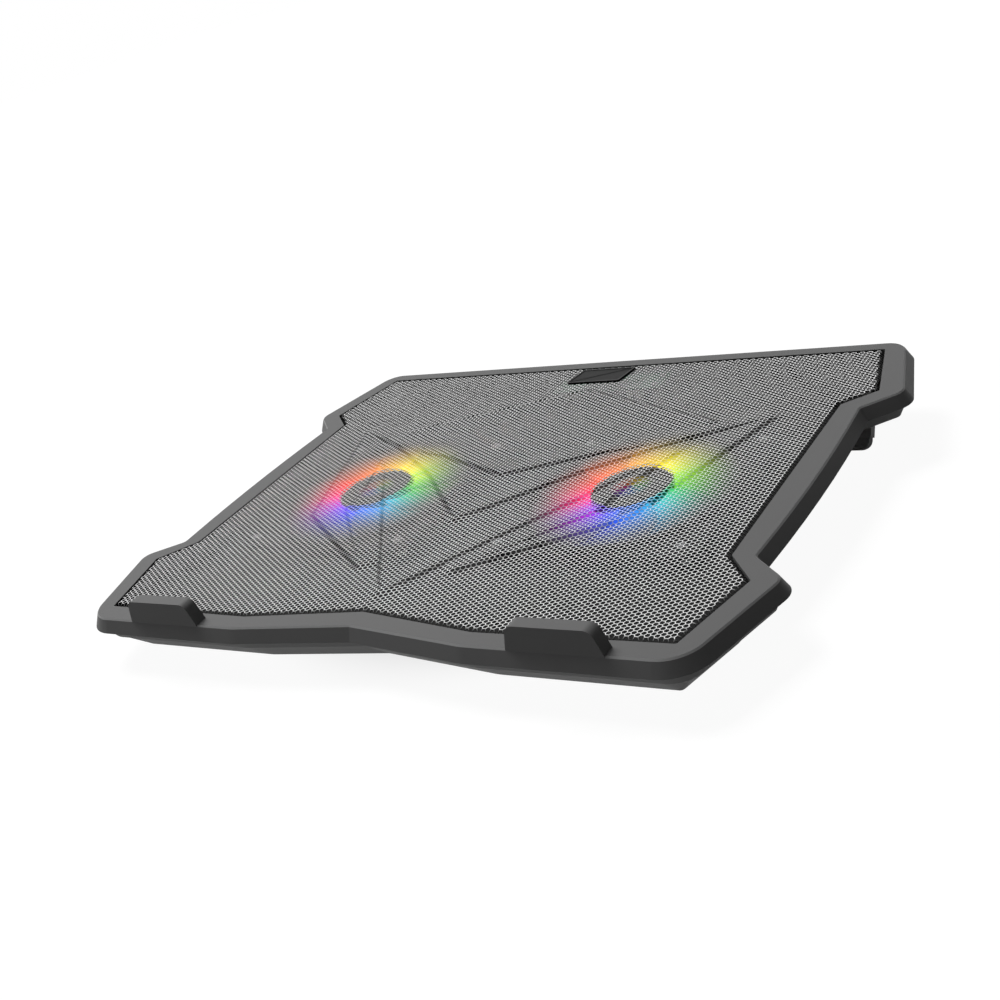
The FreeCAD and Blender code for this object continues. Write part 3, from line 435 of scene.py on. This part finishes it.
# %% [markdown]
# ## The mesh deck
# The deck is one thin steel sheet, punched all over with hexagonal holes in staggered columns
# and then pressed: ridges run across it like the facets of a shield, and its border bends
# down into the bezel.  A bump map can't show holes, so the sheet is built as a real lattice.
# One hexagon is spun along a column, the column is doubled and spun across, and the touching
# corners are merged.  Each cell is then inset, and the middle is deleted, which leaves wires.
#
# The opening in the bezel is wide at the front, drawn in along the sides and wide again at the
# back.  It is the same on both sides, so only the right-hand corners are written down, in deck
# millimetres, from the middle of the front edge round to the back.  Every cell asks how far
# inside that outline it lies.

# %% Outline of the opening
RIGHT_SIDE = ((0.0, 18.7), (64.2, 9.4), (156.0, 10.8), (167.8, 53.8), (152.6, 71.3),
              (152.6, 202.1), (166.8, 215.2), (155.0, 261.6))
OPENING = list(RIGHT_SIDE) + [(-x, y) for x, y in reversed(RIGHT_SIDE[1:])]


def inside_by(x, y):
    """Distance from a point to the opening's edge: positive inside it."""
    nearest, inside = 1e9, False
    ax, ay = OPENING[-1]
    for bx, by in OPENING:
        dx, dy = bx - ax, by - ay
        share = max(0.0, min(1.0, ((x - ax) * dx + (y - ay) * dy) / (dx * dx + dy * dy)))
        nearest = min(nearest, math.hypot(x - ax - share * dx, y - ay - share * dy))
        if (ay > y) != (by > y) and x < ax + (y - ay) * dx / dy:
            inside = not inside
        ax, ay = bx, by
    return nearest if inside else -nearest


print("opening is", 2 * max(x for x, _ in OPENING), "mm wide")

# %% [markdown]
# Each pressed line is a ridge with one steep face, which most of them turn to the front and
# outwards, and a long gentle one behind it.  The steep face is what catches or loses the light.
# A ridge is given by the points along its crest, in the order that leaves its steep face on the
# right hand.  They too are written down for the right half only.

# %% Pressed ridges
RIDGE_HEIGHT = 1.05
RIDGE_FACE = 2.2             # how wide the steep face is, seen from above
RIDGE_BACK = 15.0            # and the gentle one behind it
RIDGE_END = 5.0              # a ridge runs out over this length past both its ends

RIGHT_RIDGES = (
    ((95.0, 187.5), (0.0, 230.0)),
    ((0.0, 139.0), (47.5, 159.0), (65.6, 163.0), (123.7, 188.7)),
    ((0.0, 96.0), (45.0, 140.0), (88.0, 172.0), (122.0, 190.0)),
    ((0.0, 32.6), (47.0, 100.0), (86.0, 155.0)),
    ((27.6, 52.5), (74.0, 104.0), (76.0, 123.0), (88.5, 156.0)),
    ((27.8, 52.5), (92.0, 98.0), (123.7, 188.7)),
)


def both_sides(ridge):
    return ridge, tuple((-x, y) for x, y in reversed(ridge))


RIDGES = [copy for ridge in RIGHT_RIDGES for copy in both_sides(ridge)]


def ridge_lift(x, y):
    """How far the pressed ridges lift the sheet at a point."""
    lift = 0.0
    for ridge in RIDGES:
        for (ax, ay), (bx, by) in zip(ridge, ridge[1:]):
            dx, dy = bx - ax, by - ay
            length = math.hypot(dx, dy)
            along = ((x - ax) * dx + (y - ay) * dy) / length
            past = max(-along, along - length, 0.0)
            if past > RIDGE_END:
                continue
            side = ((x - ax) * dy - (y - ay) * dx) / length
            slope = 1.0 - side / RIDGE_FACE if side > 0 else 1.0 + side / RIDGE_BACK
            lift = max(lift, RIDGE_HEIGHT * slope * (1.0 - past / RIDGE_END))
    return lift


print(len(RIDGES), "pressed lines")

# %% [markdown]
# The lattice is made flat and bent afterwards: each of its points is moved up or down to the
# height that the pressed sheet has there.  The cells are so small that to move their corners is
# enough.  It is built in bands, side by side, which keeps each piece light enough to handle.

# %% Lattice
PITCH = 2.42                 # hole to hole along a column
COLUMN = PITCH * math.sqrt(3) / 2
HOLE = 2.04                  # across a hole's flats
SHEET_THICK = 0.3
FLANK_FOOT = 0.3             # the bent-down border starts this far inside the opening's edge
FLANK_TOP = 2.0              # and reaches the sheet's flat this far inside it
FLANK_DROP = 2.1             # its foot lies this far below the bezel's top face
BAND_COUNT = 4

print("holes", HOLE, "mm across, wires", round(PITCH - HOLE, 2), "mm wide")


# %% Height of the sheet
def sheet_height(x, y):
    """The sheet's height above the bezel's top face at a point, with ridges and border."""
    inward = inside_by(x, y)
    share = max(0.0, min(1.0, (inward - FLANK_FOOT) / (FLANK_TOP - FLANK_FOOT)))
    top = MESH_RISE + (ridge_lift(x, y) if inward > FLANK_TOP else 0.0)
    return top * share - FLANK_DROP * (1.0 - share)


# %% One band of the lattice
UPRIGHT = (0, 0, 1)          # every spin turns about this axis through this point
ORIGIN = (0, 0, 0)


def finish_mesh(bm, name, matrix=DECK):
    """Turn a bmesh in deck millimetres into an object that lies in place."""
    bm.transform(matrix)
    mesh = bpy.data.meshes.new(name)
    bm.to_mesh(mesh)
    bm.free()
    piece = bpy.data.objects.new(name, mesh)
    bpy.context.scene.collection.objects.link(piece)
    return piece


def repeat(bm, copies, step):
    """Copy every face in a straight row, each copy one step further on."""
    bmesh.ops.spin(bm, geom=bm.faces[:], angle=0, steps=copies, dvec=step,
                   use_duplicate=True, axis=UPRIGHT, cent=ORIGIN)


def mesh_band(name, first, columns, rows, low_y):
    """A stretch of the lattice, from its first column, clipped to the opening."""
    bm = bmesh.new()
    start = Matrix.Translation((first * COLUMN, low_y, 0)) @ Matrix.Rotation(math.pi / 2, 4, "Z")
    bmesh.ops.create_circle(bm, cap_ends=True, segments=6, radius=PITCH / math.sqrt(3),
                            matrix=start)
    repeat(bm, rows - 1, (0, PITCH, 0))
    repeat(bm, 1, (COLUMN, PITCH / 2, 0))
    repeat(bm, columns // 2 - 1, (2 * COLUMN, 0, 0))
    outside = [f for f in bm.faces if inside_by(*f.calc_center_median().xy) < FLANK_FOOT]
    bmesh.ops.delete(bm, geom=outside, context="FACES")
    bmesh.ops.remove_doubles(bm, verts=bm.verts, dist=PITCH / 20)
    cells = bm.faces[:]
    bmesh.ops.recalc_face_normals(bm, faces=cells)
    bmesh.ops.inset_individual(bm, faces=cells, thickness=(PITCH - HOLE) / 2, use_even_offset=True)
    bmesh.ops.delete(bm, geom=cells, context="FACES")
    for vert in bm.verts:
        vert.co.z = sheet_height(vert.co.x, vert.co.y)
    # An open sheet has no outside of its own, so its face is turned up here.
    if sum(f.normal.z for f in bm.faces[:50]) < 0:
        bmesh.ops.reverse_faces(bm, faces=bm.faces)
    band = finish_mesh(bm, name)
    wall = band.modifiers.new("sheet", "SOLIDIFY")
    wall.thickness = SHEET_THICK * MM
    wall.offset = -1.0
    wall.material_offset_rim = 1
    return band

# %% [markdown]
# The sheet is coated a pale satin grey on its face, so its wires are the lightest thing on the
# pad.  On the steep faces of the ridges and on the bent-down border the coat is painted dark: a
# painted shade for the light that they lose.  The walls of the holes have their own finish: they
# are painted near black, a painted shade inside the holes, and the light that comes up through a
# hole grazes them, so the fan's glow is painted on them as their own light.  The face gets only a
# painted tint and a weaker painted glow.  The blades lie a few millimetres lower, and a user in
# front and to the right looks through the holes at a slant, so the painted glow on the sheet is
# shifted towards that user by as much, and the two wheels line up.

# %% Glow on the mesh
GLOW_SHIFT = Vector((3.7, -4.5))
HUB_EDGE = 0.6               # half of the width over which the glow starts at the hub's edge


def fans_glow(sheet):
    """The colour that reaches the sheet from the nearer fan, and how much of it."""
    hues, amounts = [], []
    for centre in FAN_CENTRES.values():
        shifted = centre.xy + GLOW_SHIFT
        color, radius = wheel_of(sheet, sheet.deck(*shifted))
        past_hub = sheet.between(radius, HUB_RADIUS - HUB_EDGE, HUB_RADIUS + HUB_EDGE)
        hues.append(color)
        amounts.append(glow_fade(sheet, radius) * past_hub)
    right_half = sheet.split(sheet.deck())[0].math("GREATER_THAN", 0.0)
    left_amount, right_amount = amounts
    amount = left_amount * (1.0 - right_half) + right_amount * right_half
    return sheet.mix(right_half, *hues), amount

# %% Mesh finish
COAT_LEVELS = (0.84, 0.94)
FLAT_FACING = (0.9, 0.985)   # how far up a face looks: painted shade below, none above
STEEP_SHADE_LEVEL = 0.4         # how much of the coat's brightness a steep face keeps under its painted shade
BORDER_HEIGHT = (-0.7, 0.4)  # the border is painted in shade below these heights and not above
# how much of the coat's brightness the border's foot keeps under its painted shade
BORDER_SHADE_LEVEL = 0.04
# how much of the fans' light is painted into the face's own colour
PAINTED_GLOW_TINT = 0.42
# the hole walls are painted near black, a painted shade inside the holes
HOLE_SHADE_LEVELS = (0.003, 0.008)


def mesh_face_finish():
    sheet = Sheet("mesh_coating", specular_ior_level=0.15, emission_strength=0.25)
    where = sheet.deck()
    cloud = sheet.noise(where, scale=0.02, detail=3.0)
    fine = sheet.noise(where, scale=1.6, roughness=0.6)
    coat = sheet.mix(cloud * 0.6 + fine * 0.4, *map(grey, COAT_LEVELS))
    level = sheet.between(sheet.facing_up(), *FLAT_FACING)
    raised = sheet.between(sheet.split(where)[2], *BORDER_HEIGHT)
    # painted shade: the steep faces of the ridges and the bent-down border are darkened
    unshaded = raised * (level * (1.0 - STEEP_SHADE_LEVEL) + STEEP_SHADE_LEVEL)
    shaded = sheet.scaled(coat, unshaded * (1.0 - BORDER_SHADE_LEVEL) + BORDER_SHADE_LEVEL)
    hue, amount = fans_glow(sheet)
    # painted light: the fans' glow is tinted into the face and emitted from it
    sheet.set(base_color=sheet.mix(amount * PAINTED_GLOW_TINT, shaded, hue),
              emission_color=sheet.scaled(hue, amount),
              roughness=0.42 + fine * 0.16,
              normal=sheet.bump(fine, 0.02, 0.4))
    return sheet.material


def hole_wall_finish():
    sheet = Sheet("mesh_hole_wall", specular_ior_level=0.05, emission_strength=1.2)
    shade_mottle = sheet.noise(sheet.deck(), scale=0.8)
    hue, amount = fans_glow(sheet)
    # painted shade and painted glow: near-black walls that emit the fan's colours
    sheet.set(base_color=sheet.mix(shade_mottle, *map(grey, HOLE_SHADE_LEVELS)), roughness=0.7 + shade_mottle * 0.2,
              emission_color=sheet.scaled(hue, amount))
    return sheet.material


# %% The mesh deck in four bands
def add_mesh_deck():
    reach = max(x for x, _ in OPENING)
    low_y = min(y for _, y in OPENING)
    high_y = max(y for _, y in OPENING)
    columns = 2 * math.ceil(reach / COLUMN / BAND_COUNT)
    rows = math.ceil((high_y - low_y) / PITCH) + 1
    face_and_wall = (mesh_face_finish(), hole_wall_finish())
    for index in range(BAND_COUNT):
        first = (index - BAND_COUNT // 2) * columns
        band = mesh_band("mesh_band_%d" % (index + 1), first, columns, rows, low_y)
        for finish in face_and_wall:
            band.data.materials.append(finish)
        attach(band, "base")
        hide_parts("mesh_panel")
        print(band.name, len(band.data.polygons) // 6, "cells")


add_mesh_deck()

# %% [markdown]
# ## The rotors
# A pad's fan is wide and very flat, so its nine blades are broad and shallow and overlap: from
# above there is no gap between them.  They are smoke-clear plastic, which the lamps light from
# the hub outwards; here they are dark, and that light is painted on them as their own glow, with a
# faint painted glow in the middle of the hub as well.  One blade is a grid bent round the axis and
# dropped from its leading edge to its trailing one; it gets a wall and is spun into nine.

# %% Blade
BLADES = 9
BLADE_IN, BLADE_OUT = 19.0, 49.6
BLADE_SWEEP = math.radians(62)       # the part of a turn that one blade covers
BLADE_CURVE = math.radians(16)       # how far its tip lags behind its root
BLADE_LEAD, BLADE_TRAIL = -3.3, -7.6
BLADE_CAMBER = 0.8                   # below 1 it drops fastest just behind its leading edge
BLADE_WALL = 0.8


def blade_shape(hand):
    """One blade; a hand of 1 sweeps it anticlockwise from above, and -1 clockwise."""
    bm = bmesh.new()
    bmesh.ops.create_grid(bm, x_segments=8, y_segments=12, size=0.5)
    for vert in bm.verts:
        out, turn = vert.co.x + 0.5, vert.co.y + 0.5
        radius = BLADE_IN + (BLADE_OUT - BLADE_IN) * out
        angle = hand * (BLADE_SWEEP * turn + BLADE_CURVE * out * out)
        drop = BLADE_LEAD + (BLADE_TRAIL - BLADE_LEAD) * turn ** BLADE_CAMBER
        vert.co = Vector((radius * math.cos(angle), radius * math.sin(angle), drop))
    bmesh.ops.recalc_face_normals(bm, faces=bm.faces)
    bmesh.ops.solidify(bm, geom=bm.faces[:], thickness=BLADE_WALL)
    return bm


def ring_of_blades(hand):
    bm = blade_shape(hand)
    bmesh.ops.spin(bm, geom=bm.verts[:] + bm.edges[:] + bm.faces[:],
                   angle=2 * math.pi * (BLADES - 1) / BLADES, steps=BLADES - 1,
                   axis=UPRIGHT, cent=ORIGIN, use_duplicate=True)
    bmesh.ops.recalc_face_normals(bm, faces=bm.faces)
    return bm


# %% Hub
HUB_TOP, HUB_FOOT = -2.2, -9.2
HUB_WALL = 1.6
HUB_ROOF = 1.9
GROOVE = (9.6, 10.0, 10.8, 11.2)     # radii of the ring groove's edges
GROOVE_DEPTH = 0.25
HUB_STEPS = 48


def hub_profile(bm):
    """Half of the hub's section: a domed top with a ring groove, and a thin skirt."""
    inner, inner_foot, outer_foot, outer = GROOVE
    sunk = HUB_TOP - GROOVE_DEPTH
    points = [(0, HUB_TOP), (inner, HUB_TOP), (inner_foot, sunk), (outer_foot, sunk),
              (outer, HUB_TOP), (17.6, HUB_TOP), (18.9, HUB_TOP - 0.5), (HUB_RADIUS, HUB_TOP - 1.6),
              (HUB_RADIUS, HUB_FOOT), (HUB_RADIUS - HUB_WALL, HUB_FOOT),
              (HUB_RADIUS - HUB_WALL, HUB_TOP - HUB_ROOF), (0, HUB_TOP - HUB_ROOF)]
    verts = [bm.verts.new((x, 0, z)) for x, z in points]
    return [bm.edges.new(pair) for pair in zip(verts, verts[1:])]


def hub_shape():
    bm = bmesh.new()
    profile = hub_profile(bm)
    bmesh.ops.spin(bm, geom=profile + bm.verts[:], angle=2 * math.pi, steps=HUB_STEPS,
                   axis=UPRIGHT, cent=ORIGIN, use_merge=True)
    bmesh.ops.remove_doubles(bm, verts=bm.verts, dist=0.01)
    bmesh.ops.recalc_face_normals(bm, faces=bm.faces)
    return bm


# %% Rotor finish
CORE_FROM, CORE_TO = 6.0, 11.0       # a faint glow in the middle of the hub ends between these
CORE_GLOW = 0.16


def rotor_finish(side):
    sheet = Sheet("rotor_plastic_" + side, emission_strength=1.4, specular_ior_level=0.05)
    centre = FAN_CENTRES[side]
    where = sheet.deck(centre.x, centre.y)
    color, radius = wheel_of(sheet, where)
    fine = sheet.noise(where, scale=0.8)
    blade = sheet.between(radius, HUB_RADIUS - 0.3, HUB_RADIUS + 1.0)
    core = (1.0 - sheet.between(radius, CORE_FROM, CORE_TO)) * CORE_GLOW
    # painted light: the blades and the hub's middle glow in the wheel's colours
    amount = glow_fade(sheet, radius) * blade * (0.85 + fine * 0.3) + core
    sheet.set(base_color=sheet.mix(blade, grey(0.02), grey(0.035)),
              roughness=0.3 + fine * 0.15,
              emission_color=sheet.scaled(color, amount))
    return sheet.material


# %% The two rotors
ROTOR_EDGE = 0.15


def join(bm, other):
    """Add another bmesh to the first one, and free it."""
    spare = bpy.data.meshes.new("spare")
    other.to_mesh(spare)
    other.free()
    bm.from_mesh(spare)
    bpy.data.meshes.remove(spare)


def add_rotor(side, hand):
    bm = hub_shape()
    join(bm, ring_of_blades(hand))
    centre = FAN_CENTRES[side]
    rotor = finish_mesh(bm, "rotor_" + side, DECK @ Matrix.Translation((centre.x, centre.y, 0)))
    rotor.data.shade_smooth()
    edges = rotor.modifiers.new("edges", "BEVEL")
    edges.width = ROTOR_EDGE * MM
    edges.segments = 1
    edges.harden_normals = True
    rotor.data.materials.append(rotor_finish(side))
    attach(rotor, "fan_" + side)
    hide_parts("fan_rotor_" + side)
    return rotor


for side, hand in (("left", 1), ("right", -1)):
    print(side, "rotor", len(add_rotor(side, hand).data.polygons), "faces")

# %% [markdown]
# ## The badge
# Makers put a badge at the back of the mesh.  Here it is bare: a slanted black plate with a
# polished border round a sunken, empty field.  Extrude, inset, push down and bevel make it.

# %% Badge
BADGE_BACK = 21.0            # from the deck's back edge to the badge's middle
BADGE_HALF = 16.5            # half of its width, and next half of its depth
BADGE_DEEP = 8.0
BADGE_SLANT = 1.5            # how far its front leans to one side, and its back to the other
BADGE_THICK = 1.2
BADGE_CORNER = 1.2
BADGE_EDGE = 0.12
BORDER_WIDTH = 0.9
FIELD_STEP, FIELD_SUNK = 0.25, 0.3


def badge_shape():
    """A slanted plate with rounded corners, a flat border and a sunken field."""
    bm = bmesh.new()
    middle = DECK_DEPTH - BADGE_BACK
    corners = ((-BADGE_HALF - BADGE_SLANT, -BADGE_DEEP), (BADGE_HALF - BADGE_SLANT, -BADGE_DEEP),
               (BADGE_HALF + BADGE_SLANT, BADGE_DEEP), (-BADGE_HALF + BADGE_SLANT, BADGE_DEEP))
    face = bm.faces.new([bm.verts.new((x, middle + y, MESH_RISE)) for x, y in corners])
    raised = bmesh.ops.extrude_face_region(bm, geom=[face])["geom"]
    bmesh.ops.translate(bm, verts=[v for v in raised if isinstance(v, bmesh.types.BMVert)],
                        vec=(0, 0, BADGE_THICK))
    upright = [e for e in bm.edges if abs(e.verts[0].co.z - e.verts[1].co.z) > BADGE_THICK / 2]
    bmesh.ops.bevel(bm, geom=upright, offset=BADGE_CORNER, segments=3, profile=0.5,
                    affect="EDGES", material=-1)
    top = max(bm.faces, key=lambda f: f.calc_center_median().z)
    bmesh.ops.inset_region(bm, faces=[top], thickness=BORDER_WIDTH, depth=0.0,
                           use_even_offset=True)
    bmesh.ops.inset_region(bm, faces=[top], thickness=FIELD_STEP, depth=-FIELD_SUNK,
                           use_even_offset=True)
    bmesh.ops.recalc_face_normals(bm, faces=bm.faces)
    return bm


def badge_finish():
    """Black gloss, a little paler on the polished border, which is found by its height."""
    sheet = Sheet("badge_gloss", specular_ior_level=0.05)
    where = sheet.deck()
    fine = sheet.noise(where, scale=0.9, detail=3.0)
    top = MESH_RISE + BADGE_THICK
    border = sheet.between(sheet.split(where)[2], top - 0.2, top - 0.05)
    sheet.set(base_color=sheet.mix(border, grey(0.004), grey(0.05)),
              roughness=0.25 + fine * 0.12)
    return sheet.material


def add_badge():
    badge = finish_mesh(badge_shape(), "badge")
    edge = badge.modifiers.new("edge", "BEVEL")
    edge.width = BADGE_EDGE * MM
    edge.segments = 2
    badge.data.materials.append(badge_finish())
    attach(badge, "base")
    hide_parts("badge_plate")
    print("badge", len(badge.data.polygons), "faces")


add_badge()

# %% [markdown]
# ## Finishes of the CAD pieces
# Everything else keeps its CAD shape and gets the finish of its real material, some with painted
# light or shade.  One table makes the finishes, and the other pairs each with the nodes that have
# it, by how their names start; the first row that fits holds, so leg_tip and leg_pin come before
# leg_.  The legs and their tips stand in the pad's own shade, so their plastic and rubber are
# painted paler, a painted light that lets them still show.
# The last three rows are for nodes that are hidden behind the pieces made above.

# %% Coils and lamps
def enamel(name, color):
    """Varnished copper wire: fine turns, all one way."""
    sheet = Sheet(name, metallic=1.0)
    turns = sheet.node("ShaderNodeTexWave", {"bands_direction": "Z"},
                       {"Vector": sheet.deck(), "Scale": 0.9, "Distortion": 0.6}).out(1)
    sheet.set(base_color=sheet.mix(turns, rgb(*(c * 0.5 for c in color)), rgb(*color)),
              roughness=0.3 + turns * 0.1, normal=sheet.bump(turns, 0.1, 0.6))
    return sheet.material


def lamp_finish(side):
    """Colour lamps under a clear top, each lit in the wheel's colour at its place."""
    sheet = Sheet("lamp_" + side, emission_strength=0.5, coat_weight=0.3, roughness=0.3)
    centre = FAN_CENTRES[side]
    where = sheet.deck(centre.x, centre.y)
    color, _ = wheel_of(sheet, where)
    fine = sheet.noise(where, scale=2.0)
    sheet.set(base_color=sheet.mix(fine, grey(0.03), grey(0.05)), emission_color=color)
    return sheet.material


# %% Finishes of the nodes
finishes = {
    "top_bezel": moulded("bezel_texture", 0.122, highlight=0.6),
    "lower_shell": shell_finish(),
    # painted light: the legs and their tips are paler than their real plastic and rubber
    "leg": moulded("leg_texture", 0.5),
    "leg_tip": rubber("tip_rubber", 0.4),
    "feet": rubber("foot_rubber", 0.035),
    "fan_frame": moulded("fan_texture", 0.006, rough=0.6),
    "screws": brushed("black_zinc", (0.25, 0.25, 0.26)),
    "steel": brushed("ground_steel", (0.6, 0.6, 0.62), rough=0.25),
    "bearing": brushed("sintered_bronze", (0.55, 0.36, 0.18), rough=0.5),
    "magnet": moulded("ferrite", 0.02, rough=0.5),
    "stator": brushed("laminations", (0.35, 0.35, 0.36), rough=0.45, along=(30.0, 30.0, 120.0)),
    "coils": enamel("enamelled_copper", (0.75, 0.32, 0.14)),
    "board": laminate("solder_mask"),
    "socket": brushed("plated_sheet", (0.7, 0.7, 0.72), rough=0.22),
    "tongue": moulded("socket_tongue", 0.02),
    "button": moulded("button_texture", 0.06, rough=0.4),
    "switch": moulded("switch_body", 0.03),
    "plug": moulded("nylon", 0.62, tint=(1.0, 0.95, 0.82)),
    "lead": rubber("lead_jacket", 0.02),
}
print(len(finishes), "finishes, and one for each fan's lamps")

# %% Which node has which finish
FINISH_OF = (
    ("top_bezel", "top_bezel"), ("lower_shell", "lower_shell"), ("leg_tip", "leg_tip"),
    ("front_bar", "lower_shell"), ("rear_bars", "lower_shell"),
    ("leg_pin", "steel"), ("leg_", "leg"), ("front_feet", "feet"), ("rear_feet", "feet"),
    ("fan_frame", "fan_frame"), ("case_screws", "screws"), ("fan_screws", "screws"),
    ("board_screws", "screws"), ("fan_shaft", "steel"), ("fan_bearing", "bearing"),
    ("fan_magnet", "magnet"), ("fan_stator", "stator"), ("fan_coils", "coils"),
    ("fan_board", "board"), ("control_board", "board"), ("usb_shells", "socket"),
    ("usb_tongues", "tongue"), ("light_button", "button"), ("button_switch", "switch"),
    ("lead_plugs", "plug"), ("fan_lead", "lead"), ("fan_rotor", "magnet"),
    ("mesh_panel", "top_bezel"), ("badge_plate", "magnet"),
)


def finish_for(node):
    """A node's finish; each fan's lamps have their own, because the wheel turns about its fan."""
    if node.startswith("fan_lights"):
        return lamp_finish(node.rsplit("_", 1)[1])
    return finishes[next(finish for start, finish in FINISH_OF if node.startswith(start))]


for name, piece in frame["nodes"].items():
    piece.data.materials.clear()
    piece.data.materials.append(finish_for(name))
print(len(frame["nodes"]), "CAD pieces finished")

# %% [markdown]
# ## Light and floor
# A wide soft lamp hangs high behind the pad and to the left, far enough away to light both ends
# of the deck alike, so the top is evenly lit and the walls on the right fall dark.  A weak lamp
# in front lifts the front wall.  The floor looks white to the camera, also in reflections, and
# keeps the pad's shadow, but it sends little light back up, so that the walls don't wash out.
# It is painted darker under the middle of the pad, a painted shadow, or its white would show through the fans'
# vents.

# %% Lamps
LAMPS = (("overhead", (-2.4, 1.05, 3.9), 2.4, 236), ("front", (-0.1, -1.7, 0.45), 0.9, 3.6))
LAMP_AIM = (0, 0, 0.02)


def add_lamp(name, place, size, power):
    """A square soft lamp: its place and its side in metres, its power in watts."""
    data = bpy.data.lights.new(name, "AREA")
    data.size = size
    data.energy = power
    lamp = bpy.data.objects.new(name, data)
    lamp.location = place
    lamp.rotation_euler = (Vector(LAMP_AIM) - Vector(place)).to_track_quat("-Z", "Y").to_euler()
    bpy.context.scene.collection.objects.link(lamp)


# %% World
WORLD_LEVEL = 0.032


def add_world():
    """White where it is seen, and a dim grey as a light."""
    world = bpy.data.worlds.new("studio")
    world.use_nodes = True
    sky = NodeTree(world.node_tree)
    dim = sky.node("ShaderNodeBackground", {}, {"Color": grey(1.0), "Strength": WORLD_LEVEL})
    white = sky.node("ShaderNodeBackground", {}, {"Color": grey(1.0)})
    both = sky.node("ShaderNodeMixShader", {}, {0: sky.seen_directly(), 1: dim.out(0),
                                                2: white.out(0)})
    sky.node("ShaderNodeOutputWorld", {}, {0: both.out(0)})
    bpy.context.scene.world = world


# %% Floor
FLOOR_HALF = 6.0             # metres, like the distances below
FLOOR_SHINE = 0.945          # what the floor shows of itself near the pad; further away it is 1
FLOOR_WHITE = (0.25, 0.6)    # where it turns from the one into the other
FLOOR_SHADE = 0.1            # how much of its look the floor owes to the lamps
FLOOR_BOUNCE = 0.13          # how much of the lamps' light it sends back up
PAINTED_SHADOW_REACH = (0.02, 0.14)     # the painted shadow under the pad, from its middle to its edge
# how much of the floor's white the painted shadow keeps at its middle
PAINTED_SHADOW_KEEPS = 0.15


def floor_finish():
    sheet = Sheet("floor_white", roughness=0.9, specular_ior_level=0.0, emission_strength=1.0)
    seen = sheet.seen_directly()
    place = sheet.node("ShaderNodeTexCoord").out("Object")
    away = sheet.node("ShaderNodeVectorMath", {"operation": "LENGTH"}, {0: place}).out("Value")
    shine = sheet.mix(sheet.between(away, *FLOOR_WHITE), grey(FLOOR_SHINE), grey(1.0))
    # painted shadow: the floor's white is dimmed under the pad
    painted_shadow = sheet.between(away, *PAINTED_SHADOW_REACH) * (1.0 - PAINTED_SHADOW_KEEPS) + PAINTED_SHADOW_KEEPS
    sheet.set(base_color=sheet.mix(seen, grey(FLOOR_BOUNCE), grey(FLOOR_SHADE)),
              emission_color=sheet.scaled(sheet.scaled(shine, painted_shadow), seen))
    return sheet.material


def add_floor():
    bm = bmesh.new()
    bmesh.ops.create_grid(bm, x_segments=1, y_segments=1, size=FLOOR_HALF)
    floor = finish_mesh(bm, "floor", Matrix.Identity(4))
    floor.data.materials.append(floor_finish())


add_floor()
add_world()
for lamp in LAMPS:
    add_lamp(*lamp)
bpy.context.scene.view_settings.view_transform = "Standard"
print(len(LAMPS), "lamps")
